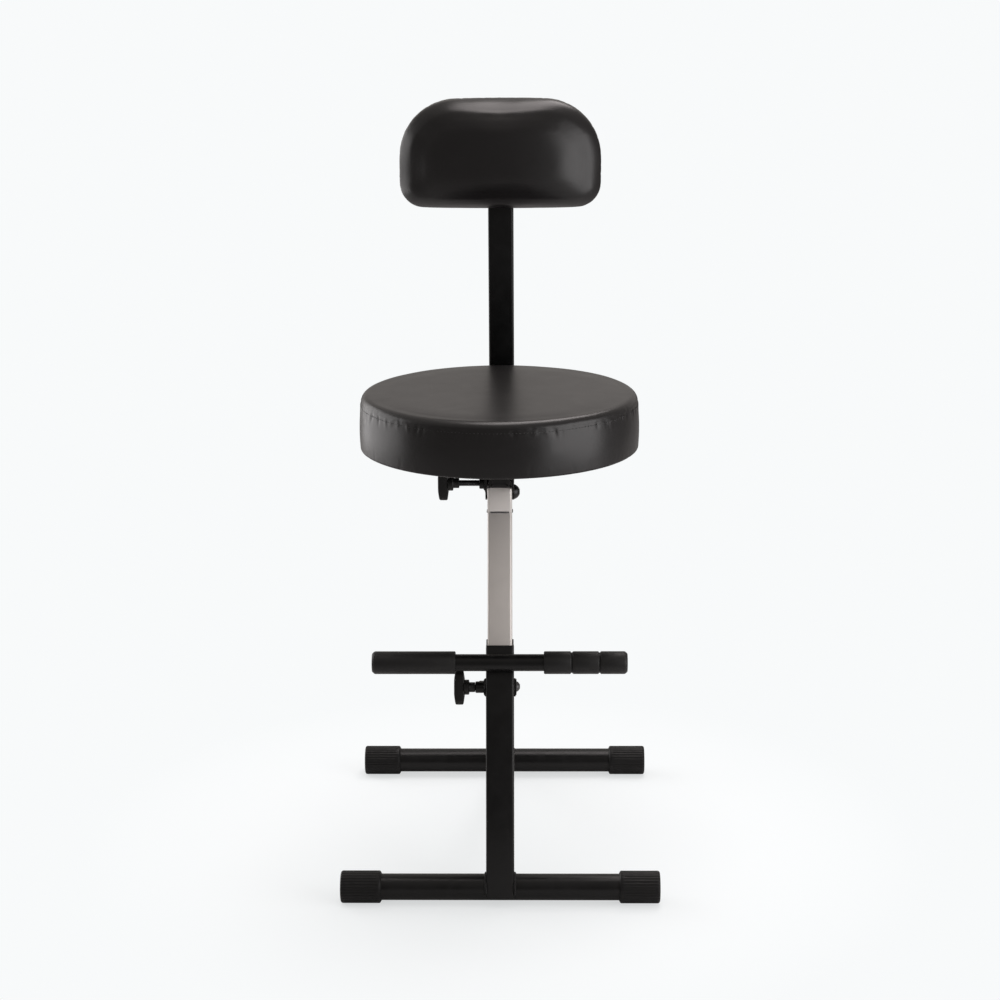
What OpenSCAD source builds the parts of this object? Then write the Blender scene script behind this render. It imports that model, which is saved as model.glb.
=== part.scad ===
// Performer's throne: a round padded seat on a leaning telescopic post, a folding
// H-shaped base, a footrest bar across the front leg and a padded backrest on an arm.
// X runs across the seat, +Y towards the backrest, +Z up. The floor is z = 0 and the
// origin lies below the middle of the whole throne's outline.

/* [Seat] */
// Diameter of the padded seat
seat_d = 346; // [320:1:400]
// Height of the seat from the underside of its board to the crown
seat_h = 64; // [50:1:90]
// Radius that rounds the top edge of the seat cushion
seat_edge_r = 10; // [4:1:16]
// Thickness of the seat's plywood board
seat_board_t = 12; // [9:1:18]
// Distance from the cushion's outer edge in to the board's edge
seat_board_inset = 8; // [5:1:15]
// Side of the square steel plate under the board
seat_plate_w = 150; // [110:1:190]
// Thickness of that plate
seat_plate_t = 3; // [2:0.5:5]
// Distance between the seat screws, along each side of the plate
seat_screw_pitch = 120; // [80:1:124]

/* [Backrest pad] */
// Width of the backrest pad
pad_w = 258; // [220:1:320]
// Height of the backrest pad
pad_h = 138; // [120:1:180]
// Thickness of the backrest pad from its back to its crown
pad_t = 48; // [36:1:60]
// Radius of the pad's top corners
pad_top_r = 62; // [40:1:68]
// Radius of the pad's bottom corners
pad_bottom_r = 32; // [20:1:45]
// Gap between the top of the seat and the bottom of the pad
pad_rise = 211; // [180:1:240]
// Thickness of the backrest's plywood board
pad_board_t = 10; // [8:1:14]
// Distance from the pad's edge in to the board's edge
pad_board_inset = 9; // [5:1:14]

/* [Backrest arm] */
// Width of the square tube of the arm and the riser
arm_w = 27; // [25:0.5:28]
// Wall of that tube
arm_wall = 1.5; // [1:0.1:2.5]
// How far the arm reaches in front of the seat's axis
arm_front = 30; // [28:1:40]
// Distance from the seat's axis back to the riser's axis
riser_back = 215; // [212:1:240]
// Height of the riser above the underside of the arm
riser_h = 225; // [200:1:280]

/* [Backrest sleeve] */
// Width of the square sleeve that slides on the riser
sleeve_w = 33; // [32.5:0.5:36]
// Wall of the sleeve
sleeve_wall = 1.5; // [1:0.1:2]
// Length of the sleeve
sleeve_len = 377; // [360:1:380]
// Distance from the top of the pad down to the top of the sleeve
sleeve_top_drop = 24; // [15:1:30]
// Length of each plastic liner in the sleeve, which the clamp screw passes through
liner_len = 30; // [24:1:40]
// Distance from the foot of the sleeve up to its clamp screw
sleeve_clamp_rise = 19; // [15:1:24]

/* [Post and head] */
// Width of the square telescopic post
post_w = 30.8; // [30.6:0.1:31]
// Wall of the post and its head
post_wall = 1.4; // [1:0.1:1.5]
// Height of the bend where the leaning post meets its upright head
bend_z = 472; // [455:1:500]
// Height of the head's front wall above the bend
head_h = 34; // [30:1:45]
// Length of post that stays inside the front leg
post_insert = 131; // [115:1:160]

/* [Bracket] */
// Thickness of the bracket's steel
bracket_t = 2.5; // [2:0.5:4]
// How far the bracket reaches in front of the seat's axis
bracket_front = 34; // [33:1:40]
// How far the bracket reaches behind the seat's axis
bracket_back = 40; // [30:1:60]
// Height of the plastic rest between the head and the arm
arm_rest_t = 4; // [3:0.5:6]
// Free height between the arm and the bracket's web
arm_headroom = 15.5; // [10:0.5:25]
// Height of the cross bolt above the bend
cross_bolt_rise = 25; // [22:0.5:27]
// Distance from the seat's axis forward to the arm's clamp screw
arm_clamp_front = 24; // [22:0.5:26]

/* [Base] */
// Overall length of each base bar with its caps
base_len = 400; // [360:1:460]
// Diameter of the base tubes
base_d = 33; // [30:0.5:34]
// Wall of the base tubes
base_wall = 2; // [1.5:0.1:3]
// Distance from the seat's axis forward to the front base bar
front_reach = 134; // [120:1:160]
// Distance from the seat's axis back to the rear base bar
rear_reach = 296; // [270:1:340]
// Diameter of the end caps
cap_d = 40.4; // [38:0.2:44]
// Length of the end caps
cap_len = 51; // [40:1:60]
// Thickness of the closed end of a cap
cap_end_t = 4; // [3:0.5:6]
// Number of grooves round a cap
cap_grooves = 30; // [18:1:36]
// Depth of the flat sole that each cap stands on
sole_cut = 0.4; // [0.2:0.1:0.8]

/* [Front leg] */
// Width of the square front leg
leg_w = 35; // [34.6:0.1:36]
// Wall of the front leg
leg_wall = 1.2; // [1:0.1:1.3]
// Length of the leg from the front base bar's axis to its top
leg_len = 301; // [290:1:310]
// Length of leg below the front base bar's axis
leg_tail = 12; // [6:1:13]
// Depth that the plastic guide reaches into the leg
guide_depth = 28; // [20:1:35]
// Distance from the leg's top down to the height clamp screw
lock_drop = 51; // [48:1:60]
// Distance from the leg's top down to the rear leg's pivot
pivot_drop = 52; // [48:1:60]

/* [Rear leg] */
// Width of the square rear leg
rear_w = 25; // [22:0.5:30]
// Wall of the rear leg
rear_wall = 1.5; // [1:0.1:2.5]
// Gap between the two legs when they are folded together
fold_gap = 1.5; // [1:0.1:4]
// Thickness of the pivot plates
pivot_plate_t = 3; // [2:0.5:4]
// Height of the pivot plates
pivot_plate_h = 20; // [18:1:24]

/* [Footrest] */
// Overall length of the footrest bar
foot_len = 318; // [280:1:400]
// Diameter of the footrest tube
foot_d = 21.3; // [19:0.1:25]
// Wall of the footrest tube
foot_wall = 2; // [1.5:0.1:3]
// Distance from the leg's top down to the footrest's axis
foot_drop = 19; // [16:1:22]
// Diameter of the rubber grips
grip_d = 28.4; // [27:0.1:34]
// Length of the rubber grips
grip_len = 104; // [80:1:115]
// Depth of the flat where the footrest sits on the leg
foot_flat = 0.6; // [0.3:0.1:1]

/* [Clamp knobs] */
// Diameter of the clamp screws and the bolts
screw_d = 8; // [6:0.5:8]
// Length of the T-shaped handle
bar_len = 44; // [36:1:54]
// Thickness of the handle at its middle, along the screw
bar_t = 13.5; // [11:0.5:18]
// Thickness of the handle at its tips, along the screw
bar_tip_t = 9.5; // [7:0.5:11]
// Width of the handle
bar_w = 13; // [10:0.5:18]
// Diameter of the knob's shoulder
shoulder_d = 19; // [16:0.5:24]
// Length of the knob's shoulder
shoulder_len = 5.5; // [3:0.5:8]
// Diameter of the knob's neck
neck_d = 12.6; // [12:0.1:15]
// Length of the knob's neck
neck_len = 7.5; // [5:0.5:10]
// Diameter of the threaded bosses
boss_d = 14.6; // [13:0.1:17]
// Length of the boss on the front leg
lock_boss_len = 13.5; // [10:0.5:18]
// Length of the boss on the bracket
arm_boss_len = 7; // [5:0.5:12]
// Length of the boss on the sleeve
sleeve_boss_len = 10; // [6:0.5:14]
// Length of bare screw between the bracket's boss and its knob
arm_screw_bare = 25; // [10:0.5:40]

/* [Hidden] */
$fn = 64;

// Clearances that mating pieces share
running = 0.06;       // radial gap of a pin or screw in its bore
slide_gap = 0.3;      // gap between pieces that slide past each other
hole_gap = 0.5;       // radial gap of a screw in a plain hole
soft_gap = 0.3;       // gap between a soft pad and what it lies on
press_gap = 0.05;     // gap of a plug in its tube
tip_gap = 0.3;        // gap between a screw's tip and the tube it clamps
head_inset = 0.2;     // how far a plug's head lies inside its tube's faces
big = 800;            // side of the blocks that cut whole tubes
over = 1;             // how far a cutter runs past the face it cuts

// Corner radii of the square tubes
tube_r = 3;

// Hardware that all sub-assemblies share
nut_af = 13;          // across the flats of the pivot's nut
nut_t = 6.5;
dome_d = 19;          // head of the cross bolt
dome_h = 7.4;
small_dome_d = 13.5;  // head of the pivot bolt
small_dome_h = 4.6;
pad_screw_d = 6;
pad_screw_head_d = 12;
pad_screw_head_h = 3.4;
tee_flange_d = 19;
tee_flange_t = 1.5;
tee_barrel_d = 7.8;
tee_end_gap = 1;      // from a barrel's end to the board's outer face
cover_t = 0.8;
plate_corner_r = 12;  // corners of the plate under the seat
arm_plug_depth = 14;  // plugs of the arm and the riser
arm_plug_head_t = 2;

// The leaning axis that the front leg and the post share
base_z = cap_d / 2 - sole_cut;
lean = atan2(front_reach, bend_z - base_z);
bend_s = norm([front_reach, bend_z - base_z]);
post_foot_s = leg_len - post_insert;
lock_s = leg_len - lock_drop;
foot_s = leg_len - foot_drop;
guide_t = leg_w / 2 - leg_wall - post_w / 2 - slide_gap;
guide_rim_t = 2;
guide_lip_h = 7;
guide_lip_w = 20;
plate_setback = 2;    // from the lock boss back to the front of the pivot plates

// The rear leg and its pivot
pivot_s = leg_len - pivot_drop;
pivot_back = leg_w / 2 + fold_gap + rear_w / 2;
pivot_y = -front_reach + pivot_s * sin(lean) + pivot_back * cos(lean);
pivot_z = base_z + pivot_s * cos(lean) - pivot_back * sin(lean);
rear_angle = atan2(rear_reach - pivot_y, pivot_z - base_z);
rear_len = norm([rear_reach - pivot_y, pivot_z - base_z]);
sleeve_tube_d = screw_d + 6;
wall_reach = pivot_back - leg_w / 2;
nose_r = wall_reach - slide_gap;
heel_angle = 90 - rear_angle - lean;

// Heights from the post's head up to the seat
clamp_lift = 0.6;     // from the underside of the arm to the clamp screw's lowest line
head_fit = 0.1;       // gap between the head and the bracket on each side
head_top = bend_z + head_h;
arm_z = head_top + arm_rest_t;
arm_top = arm_z + arm_w;
web_z = arm_top + arm_headroom;
plate_z = web_z + bracket_t;
seat_z = plate_z + seat_plate_t;
seat_top = seat_z + seat_h;
cross_bolt_z = bend_z + cross_bolt_rise;
arm_clamp_z = arm_z + screw_d / 2 + clamp_lift;
bracket_in = post_w / 2 + head_fit;
bracket_out = bracket_in + bracket_t;
arm_mid_z = arm_z + arm_w / 2;

// Heights and depths of the backrest
pad_z = seat_top + pad_rise;
sleeve_top = pad_z + pad_h - sleeve_top_drop;
sleeve_z = sleeve_top - sleeve_len;
sleeve_face = riser_back - sleeve_w / 2;
sleeve_back = riser_back + sleeve_w / 2;
liner_pitch = 100;    // from the lower liner up to the upper one
upper_liner_z = sleeve_z + liner_pitch;
sleeve_clamp_z = sleeve_z + sleeve_clamp_rise;
low_screw_rise = 34;  // from the pad's foot up to its lower screw
top_screw_drop = 46;  // from the pad's top down to its upper screw
pad_screw_z = [pad_z + low_screw_rise, pad_z + pad_h - top_screw_drop];

// The whole outline, which sets the origin
front_extent = max(seat_d / 2, front_reach + cap_d / 2);
rear_extent = rear_reach + cap_d / 2;
mid_y = (rear_extent - front_extent) / 2;

// ---------------------------------------------------------------- placing

module on_seat_axis() {
    translate([0, -mid_y, 0]) children();
}

// z runs up the leaning leg from the front base bar's axis, y towards its back wall
module on_leg() {
    on_seat_axis() translate([0, -front_reach, base_z]) rotate([-lean, 0, 0]) children();
}

// The pivot's axis at the origin, -z running down the rear leg
module on_rear_leg() {
    on_seat_axis() translate([0, pivot_y, pivot_z]) rotate([rear_angle, 0, 0]) children();
}

module along_x() {
    rotate([0, 90, 0]) children();
}

// Everything below the plane that mitres the post to its head
module below_mitre() {
    on_seat_axis() translate([0, 0, bend_z]) rotate([-lean / 2, 0, 0])
        translate([-big / 2, -big / 2, -big]) cube(big);
}

// Everything in front of and below the plane that mitres the arm to the riser
module before_elbow() {
    on_seat_axis() translate([0, riser_back, arm_mid_z]) rotate([45, 0, 0])
        translate([-big / 2, -big, -big / 2]) cube(big);
}

// ---------------------------------------------------------------- shapes

module round_square(w, r) {
    square([w - 2 * r, w], center = true);
    square([w, w - 2 * r], center = true);
    for (x = [-1, 1], y = [-1, 1])
        translate([x * (w / 2 - r), y * (w / 2 - r)]) circle(r);
}

module square_bar(w, r, len) {
    linear_extrude(len) round_square(w, r);
}

module square_tube(w, wall, len) {
    difference() {
        square_bar(w, tube_r, len);
        translate([0, 0, -over]) square_bar(w - 2 * wall, tube_r - wall / 2, len + 2 * over);
    }
}

// A plastic plug for the end of a square tube: its head from z = 0 up, its body down
module tube_plug(w, wall, depth, head_w, head_t) {
    translate([0, 0, -depth]) square_bar(w - 2 * wall - 2 * press_gap, tube_r - wall / 2, depth);
    square_bar(head_w, tube_r, head_t);
}

module ring(d_out, d_in, len) {
    difference() {
        cylinder(d = d_out, h = len);
        translate([0, 0, -over]) cylinder(d = d_in, h = len + 2 * over);
    }
}

// A low dome on a flat underside at z = 0
module dome(d, h) {
    ball_r = (d * d / 4 + h * h) / (2 * h);
    rotate_extrude() intersection() {
        translate([0, h - ball_r]) circle(ball_r, $fn = 128);
        square([d / 2, h]);
    }
}

// A pad's outline with large top corners and small bottom ones, its foot on y = 0
module pad_outline(w, h, top_r, bottom_r) {
    translate([-w / 2, bottom_r]) square([w, h - bottom_r - top_r]);
    translate([-w / 2 + bottom_r, 0]) square([w - 2 * bottom_r, h - top_r]);
    translate([-w / 2 + top_r, h - top_r]) square([w - 2 * top_r, top_r]);
    for (x = [-1, 1]) {
        translate([x * (w / 2 - bottom_r), bottom_r]) circle(bottom_r);
        translate([x * (w / 2 - top_r), h - top_r]) circle(top_r);
    }
}

// ---------------------------------------------------------------- shared pieces

// Lies along X, centred on the bar's axis
module base_tube() {
    len = base_len - 2 * cap_end_t;
    translate([-len / 2, 0, 0]) along_x() ring(base_d, base_d - 2 * base_wall, len);
}

// A ribbed cap, its closed end outwards along +X, with a flat sole below
module base_cap() {
    end_r = 3;
    groove_d = 2.2;
    groove_lift = 0.44;
    groove_start = 4;
    difference() {
        translate([base_len / 2 - cap_len, 0, 0]) along_x() rotate_extrude() {
            square([cap_d / 2, cap_len - end_r]);
            translate([0, cap_len - end_r]) square([cap_d / 2 - end_r, end_r]);
            translate([cap_d / 2 - end_r, cap_len - end_r]) circle(end_r);
        }
        translate([base_len / 2 - cap_len - over, 0, 0]) along_x()
            cylinder(d = base_d + 2 * press_gap, h = cap_len - cap_end_t + over);
        for (i = [0:cap_grooves - 1])
            rotate([(i + 0.5) * 360 / cap_grooves, 0, 0])
                translate([base_len / 2 - cap_len + groove_start, 0, cap_d / 2 + groove_lift])
                    along_x() cylinder(d = groove_d, h = cap_len, $fn = 16);
        translate([0, -big / 2, -base_z - big]) cube(big);
    }
}

// A T-shaped knob on a screw that leaves it along -z from z = 0
module tee_knob() {
    shoulder_z = neck_len;
    bar_z = neck_len + shoulder_len;
    taper = (bar_t - bar_tip_t) / 2;
    difference() {
        union() {
            cylinder(d = neck_d, h = bar_z);
            translate([0, 0, shoulder_z]) cylinder(d = shoulder_d, h = shoulder_len + bar_t / 2);
            intersection() {
                translate([0, bar_w / 2, 0]) rotate([90, 0, 0]) linear_extrude(bar_w) polygon([
                    [-bar_len / 2, bar_z + taper], [-shoulder_d / 2, bar_z], [shoulder_d / 2, bar_z],
                    [bar_len / 2, bar_z + taper], [bar_len / 2, bar_z + bar_t - taper],
                    [shoulder_d / 2, bar_z + bar_t], [-shoulder_d / 2, bar_z + bar_t],
                    [-bar_len / 2, bar_z + bar_t - taper]
                ]);
                linear_extrude(bar_z + bar_t) {
                    square([bar_len - bar_w, bar_w], center = true);
                    for (x = [-1, 1]) translate([x * (bar_len - bar_w) / 2, 0]) circle(d = bar_w);
                }
            }
        }
        translate([0, 0, -over]) cylinder(d = screw_d + 2 * running, h = bar_z + over);
    }
}

// The knob's steel screw: len runs from the knob's mouth to the tip along -z
module tee_screw(len) {
    chamfer = 1;
    end_gap = 0.2;
    hidden = neck_len + shoulder_len - end_gap;
    rotate_extrude() polygon([
        [0, hidden], [screw_d / 2, hidden], [screw_d / 2, -len + chamfer],
        [screw_d / 2 - chamfer, -len], [0, -len]
    ]);
}

// A tapped boss welded on a wall at z = 0, rising along +z
module tapped_boss(len) {
    ring(boss_d, screw_d + 2 * running, len);
}

module pad_screw(len) {
    translate([0, 0, -pad_screw_head_h]) cylinder(d = pad_screw_head_d, h = pad_screw_head_h);
    cylinder(d = pad_screw_d, h = len);
}

// A flanged nut sunk in a board: its flange at z = 0, the barrel along -z
module tee_nut(len) {
    bore_d = pad_screw_d + 2 * running;
    difference() {
        union() {
            cylinder(d = tee_flange_d, h = tee_flange_t);
            translate([0, 0, -len]) cylinder(d = tee_barrel_d, h = len);
        }
        translate([0, 0, -len - over]) cylinder(d = bore_d, h = len + tee_flange_t + 2 * over);
    }
}

// ---------------------------------------------------------------- front frame

module front_base_tube() {
    color([0.04, 0.04, 0.045]) on_seat_axis() translate([0, -front_reach, base_z]) base_tube();
}

module front_cap_right() {
    color([0.03, 0.03, 0.03]) on_seat_axis() translate([0, -front_reach, base_z]) base_cap();
}

module front_cap_left() {
    color([0.03, 0.03, 0.03]) on_seat_axis() translate([0, -front_reach, base_z])
        mirror([1, 0, 0]) base_cap();
}

module front_leg() {
    color([0.04, 0.04, 0.045]) on_leg() difference() {
        translate([0, 0, -leg_tail]) square_tube(leg_w, leg_wall, leg_len + leg_tail);
        translate([-leg_w, 0, 0]) along_x() cylinder(d = base_d, h = 2 * leg_w);
        translate([-leg_w, 0, lock_s]) along_x() cylinder(d = screw_d + 2 * hole_gap, h = leg_w);
    }
}

module leg_guide() {
    bore = post_w + 2 * slide_gap;
    bore_r = 2;
    color([0.03, 0.03, 0.03]) on_leg() translate([0, 0, leg_len]) difference() {
        union() {
            tube_plug(leg_w, leg_wall, guide_depth, leg_w - 2 * head_inset, guide_rim_t);
            for (x = [-1, 1])
                translate([x * (bore / 2 + guide_t / 2) - guide_t / 2, -guide_lip_w / 2, 0])
                    cube([guide_t, guide_lip_w, guide_rim_t + guide_lip_h]);
        }
        translate([0, 0, -guide_depth - over]) square_bar(bore, bore_r, guide_depth + big);
    }
}

module lock_boss() {
    color([0.04, 0.04, 0.045]) on_leg() translate([-leg_w / 2, 0, lock_s]) rotate([0, -90, 0])
        tapped_boss(lock_boss_len);
}

// One pivot plate on the +X wall of the leg
module pivot_plate() {
    front = boss_d / 2 + plate_setback;
    difference() {
        translate([leg_w / 2, 0, pivot_s]) along_x() linear_extrude(pivot_plate_t) {
            translate([-pivot_plate_h / 2, front]) square([pivot_plate_h, pivot_back - front]);
            translate([0, pivot_back]) circle(d = pivot_plate_h);
        }
        translate([0, pivot_back, pivot_s]) along_x() cylinder(d = screw_d + 2 * press_gap, h = leg_w);
    }
}

module pivot_plate_right() {
    color([0.04, 0.04, 0.045]) on_leg() pivot_plate();
}

module pivot_plate_left() {
    color([0.04, 0.04, 0.045]) on_leg() mirror([1, 0, 0]) pivot_plate();
}

module pivot_bolt() {
    face = leg_w / 2 + pivot_plate_t;
    thread_end = 2;
    color("silver") on_leg() translate([0, pivot_back, pivot_s]) along_x() {
        translate([0, 0, face]) dome(small_dome_d, small_dome_h);
        translate([0, 0, -face - nut_t - thread_end])
            cylinder(d = screw_d, h = 2 * face + nut_t + thread_end);
    }
}

module pivot_nut() {
    face = leg_w / 2 + pivot_plate_t;
    color("silver") on_leg() translate([-face - nut_t, pivot_back, pivot_s]) along_x() difference() {
        cylinder(d = nut_af / cos(30), h = nut_t, $fn = 6);
        translate([0, 0, -over]) cylinder(d = screw_d + 2 * press_gap, h = nut_t + 2 * over, $fn = 48);
    }
}

// The footrest's axis, in the leg's own frame
module on_footrest() {
    on_leg() translate([0, -leg_w / 2 - foot_d / 2 + foot_flat, foot_s]) children();
}

module footrest_tube() {
    len = foot_len - 2 * cap_end_t;
    color([0.04, 0.04, 0.045]) difference() {
        on_footrest() translate([-len / 2, 0, 0]) along_x() ring(foot_d, foot_d - 2 * foot_wall, len);
        on_leg() translate([-leg_w / 2 - over, -leg_w / 2, 0]) cube([leg_w + 2 * over, leg_w, leg_len]);
    }
}

// A grip on the +X end of the footrest, with this many grooves round it
module footrest_grip(grooves) {
    end_r = 3;
    groove_w = 3;
    pitch = grip_len / (grooves + 1);
    on_footrest() translate([foot_len / 2 - grip_len, 0, 0]) along_x() rotate_extrude() difference() {
        polygon([
            [0, grip_len - cap_end_t], [foot_d / 2 + press_gap, grip_len - cap_end_t],
            [foot_d / 2 + press_gap, 0], [grip_d / 2 - 1, 0], [grip_d / 2, 1],
            [grip_d / 2, grip_len - end_r], [grip_d / 2 - end_r, grip_len], [0, grip_len]
        ]);
        for (i = [1:1:grooves])
            translate([grip_d / 2, i * pitch]) rotate(45) square(groove_w / sqrt(2), center = true);
    }
}

module footrest_grip_right() {
    color([0.05, 0.05, 0.05]) footrest_grip(2);
}

module footrest_grip_left() {
    color([0.05, 0.05, 0.05]) mirror([1, 0, 0]) footrest_grip(0);
}

module lock_screw() {
    reach = leg_w / 2 + lock_boss_len + slide_gap;
    color("silver") on_leg() translate([-reach, 0, lock_s]) rotate([0, -90, 0])
        tee_screw(reach - post_w / 2 - tip_gap);
}

module lock_knob() {
    reach = leg_w / 2 + lock_boss_len + slide_gap;
    color([0.03, 0.03, 0.03]) on_leg() translate([-reach, 0, lock_s]) rotate([0, -90, 0]) tee_knob();
}

// ---------------------------------------------------------------- rear frame

module rear_base_tube() {
    color([0.04, 0.04, 0.045]) on_seat_axis() translate([0, rear_reach, base_z]) base_tube();
}

module rear_cap_right() {
    color([0.03, 0.03, 0.03]) on_seat_axis() translate([0, rear_reach, base_z]) base_cap();
}

module rear_cap_left() {
    color([0.03, 0.03, 0.03]) on_seat_axis() translate([0, rear_reach, base_z])
        mirror([1, 0, 0]) base_cap();
}

// The rear leg's envelope above the pivot is a round nose, so that it can turn
module nose_band(w) {
    along_x() translate([0, 0, -w / 2]) cylinder(r = nose_r, h = w);
    translate([-w / 2, -rear_w / 2, -rear_len]) cube([w, rear_w, rear_len]);
}

module rear_leg() {
    color([0.04, 0.04, 0.045]) on_rear_leg() difference() {
        intersection() {
            translate([0, 0, -rear_len]) square_tube(rear_w, rear_wall, rear_len + nose_r);
            nose_band(rear_w + 2 * over);
        }
        translate([-rear_w, 0, 0]) along_x() cylinder(d = sleeve_tube_d, h = 2 * rear_w);
        translate([-rear_w, 0, -rear_len]) along_x() cylinder(d = base_d, h = 2 * rear_w);
    }
}

module pivot_sleeve() {
    len = leg_w - 2 * slide_gap;
    color("silver") on_rear_leg() translate([-len / 2, 0, 0]) along_x()
        ring(sleeve_tube_d, screw_d + 2 * running, len);
}

// A plastic plug whose heel rests on the front leg's back wall when the base is open
module rear_leg_stop() {
    inner = rear_w - 2 * rear_wall - 2 * press_gap;
    heel_len = 11;
    plug_depth = 16;
    color([0.03, 0.03, 0.03]) on_rear_leg() difference() {
        union() {
            intersection() {
                translate([0, 0, -plug_depth])
                    square_bar(inner, tube_r - rear_wall / 2, plug_depth + nose_r);
                nose_band(inner);
            }
            difference() {
                rotate([heel_angle, 0, 0]) translate([-rear_w / 2, 0, 0])
                    cube([rear_w, heel_len, wall_reach]);
                for (x = [-1, 1])
                    translate([x * (inner + rear_w) / 2 - rear_w / 2, 0, 0]) along_x()
                        cylinder(r = nose_r + press_gap, h = rear_w);
            }
        }
        translate([-rear_w, 0, 0]) along_x()
            cylinder(d = sleeve_tube_d + 2 * press_gap, h = 2 * rear_w);
    }
}

// ---------------------------------------------------------------- post, head and bracket

module seat_post() {
    len = bend_s - post_foot_s + post_w;
    color([0.55, 0.55, 0.53]) intersection() {
        on_leg() translate([0, 0, post_foot_s]) square_tube(post_w, post_wall, len);
        below_mitre();
    }
}

module post_glide() {
    plug_depth = 14;
    foot_t = 3;
    foot_w = leg_w - 2 * leg_wall - 2 * slide_gap;
    color([0.03, 0.03, 0.03]) on_leg() translate([0, 0, post_foot_s]) {
        square_bar(post_w - 2 * post_wall - 2 * press_gap, tube_r - post_wall / 2, plug_depth);
        translate([0, 0, -foot_t]) square_bar(foot_w, tube_r - leg_wall / 2, foot_t);
    }
}

// The head's side walls rise past the arm as a fork
module post_head() {
    fork_drop = 4;
    len = arm_top - fork_drop - bend_z;
    color([0.62, 0.62, 0.6]) difference() {
        on_seat_axis() translate([0, 0, bend_z - post_w])
            square_tube(post_w, post_wall, len + post_w);
        below_mitre();
        on_seat_axis() translate([-post_w / 2 + post_wall, -post_w, head_top])
            cube([post_w - 2 * post_wall, 2 * post_w, big]);
        on_seat_axis() translate([-post_w, 0, cross_bolt_z]) along_x()
            cylinder(d = screw_d + 2 * press_gap, h = 2 * post_w);
    }
}

// A plastic rest on the head's walls, which the arm slides on
module arm_rest() {
    inner = post_w - 2 * post_wall - 2 * press_gap;
    key_h = 3;
    key_w = inner - 2 * post_wall;
    color([0.03, 0.03, 0.03]) on_seat_axis() {
        translate([-inner / 2, -post_w / 2, head_top]) cube([inner, post_w, arm_rest_t - slide_gap]);
        translate([-key_w / 2, -key_w / 2, head_top - key_h]) cube([key_w, key_w, key_h]);
    }
}

// The bracket's side plate seen from +X, its drawing plane y-z
module bracket_side() {
    skirt_drop = 2;
    tongue_w = 20;
    skirt_z = head_top - skirt_drop;
    translate([-bracket_front, skirt_z]) square([bracket_front + bracket_back, plate_z - skirt_z]);
    translate([-tongue_w / 2, cross_bolt_z]) square([tongue_w, skirt_z - cross_bolt_z + over]);
    translate([0, cross_bolt_z]) circle(d = tongue_w);
}

module seat_bracket() {
    color([0.04, 0.04, 0.045]) on_seat_axis() difference() {
        rotate([90, 0, 90]) translate([0, 0, -bracket_out]) linear_extrude(2 * bracket_out) bracket_side();
        translate([-bracket_in, -big / 2, web_z - big]) cube([2 * bracket_in, big, big]);
        translate([-post_w, 0, cross_bolt_z]) along_x()
            cylinder(d = screw_d + 2 * press_gap, h = 2 * post_w);
        translate([-post_w, -arm_clamp_front, arm_clamp_z]) along_x()
            cylinder(d = screw_d + 2 * hole_gap, h = post_w);
    }
}

module arm_boss() {
    color([0.04, 0.04, 0.045]) on_seat_axis() translate([-bracket_out, -arm_clamp_front, arm_clamp_z])
        rotate([0, -90, 0]) tapped_boss(arm_boss_len);
}

module cross_bolt() {
    color([0.03, 0.03, 0.03]) on_seat_axis() translate([0, 0, cross_bolt_z]) along_x() {
        translate([0, 0, bracket_out]) dome(dome_d, dome_h);
        translate([0, 0, -bracket_out]) cylinder(d = screw_d, h = 2 * bracket_out);
    }
}

// Places its children at each seat screw, at this height
module at_seat_screws(z) {
    for (x = [-1, 1], y = [-1, 1])
        translate([x * seat_screw_pitch / 2, y * seat_screw_pitch / 2, z]) children();
}

module seat_plate() {
    color([0.04, 0.04, 0.045]) on_seat_axis() difference() {
        translate([0, 0, plate_z]) square_bar(seat_plate_w, plate_corner_r, seat_plate_t);
        at_seat_screws(plate_z - over)
            cylinder(d = pad_screw_d + 2 * hole_gap, h = seat_plate_t + 2 * over);
    }
}

module seat_board() {
    board_r = seat_d / 2 - seat_board_inset;
    color([0.62, 0.47, 0.3]) on_seat_axis() difference() {
        translate([0, 0, seat_z]) cylinder(r = board_r, h = seat_board_t, $fn = 128);
        at_seat_screws(seat_z - over)
            cylinder(d = tee_barrel_d + 2 * press_gap, h = seat_board_t + 2 * over);
        at_seat_screws(seat_z + seat_board_t - tee_flange_t)
            cylinder(d = tee_flange_d + 2 * press_gap, h = over + tee_flange_t);
    }
}

module seat_tee_nuts() {
    color("silver") on_seat_axis() at_seat_screws(seat_z + seat_board_t - tee_flange_t)
        tee_nut(seat_board_t - tee_flange_t - tee_end_gap);
}

module seat_screws() {
    color("silver") on_seat_axis() at_seat_screws(plate_z)
        pad_screw(seat_plate_t + seat_board_t - tee_flange_t);
}

module seat_dust_cover() {
    inset = 10;
    plate_gap = 1;
    cover_r = seat_d / 2 - seat_board_inset - inset;
    cover_z = seat_z - cover_t - soft_gap;
    color([0.06, 0.06, 0.06]) on_seat_axis() translate([0, 0, cover_z]) difference() {
        cylinder(r = cover_r, h = cover_t, $fn = 128);
        translate([0, 0, -over])
            square_bar(seat_plate_w + 2 * plate_gap, plate_corner_r, cover_t + 2 * over);
    }
}

module seat_cushion() {
    r = seat_d / 2;
    pocket_r = r - seat_board_inset + soft_gap;
    pocket_h = seat_board_t + soft_gap;
    low_r = 4;
    color([0.07, 0.07, 0.07]) on_seat_axis() translate([0, 0, seat_z])
        rotate_extrude($fn = 160) difference() {
            union() {
                square([r - seat_edge_r, seat_h]);
                translate([0, low_r]) square([r, seat_h - seat_edge_r - low_r]);
                square([r - low_r, low_r + over]);
                translate([r - seat_edge_r, seat_h - seat_edge_r]) circle(seat_edge_r);
                translate([r - low_r, low_r]) circle(low_r);
            }
            translate([-over, -over]) square([pocket_r + over, pocket_h + over]);
        }
}

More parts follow.
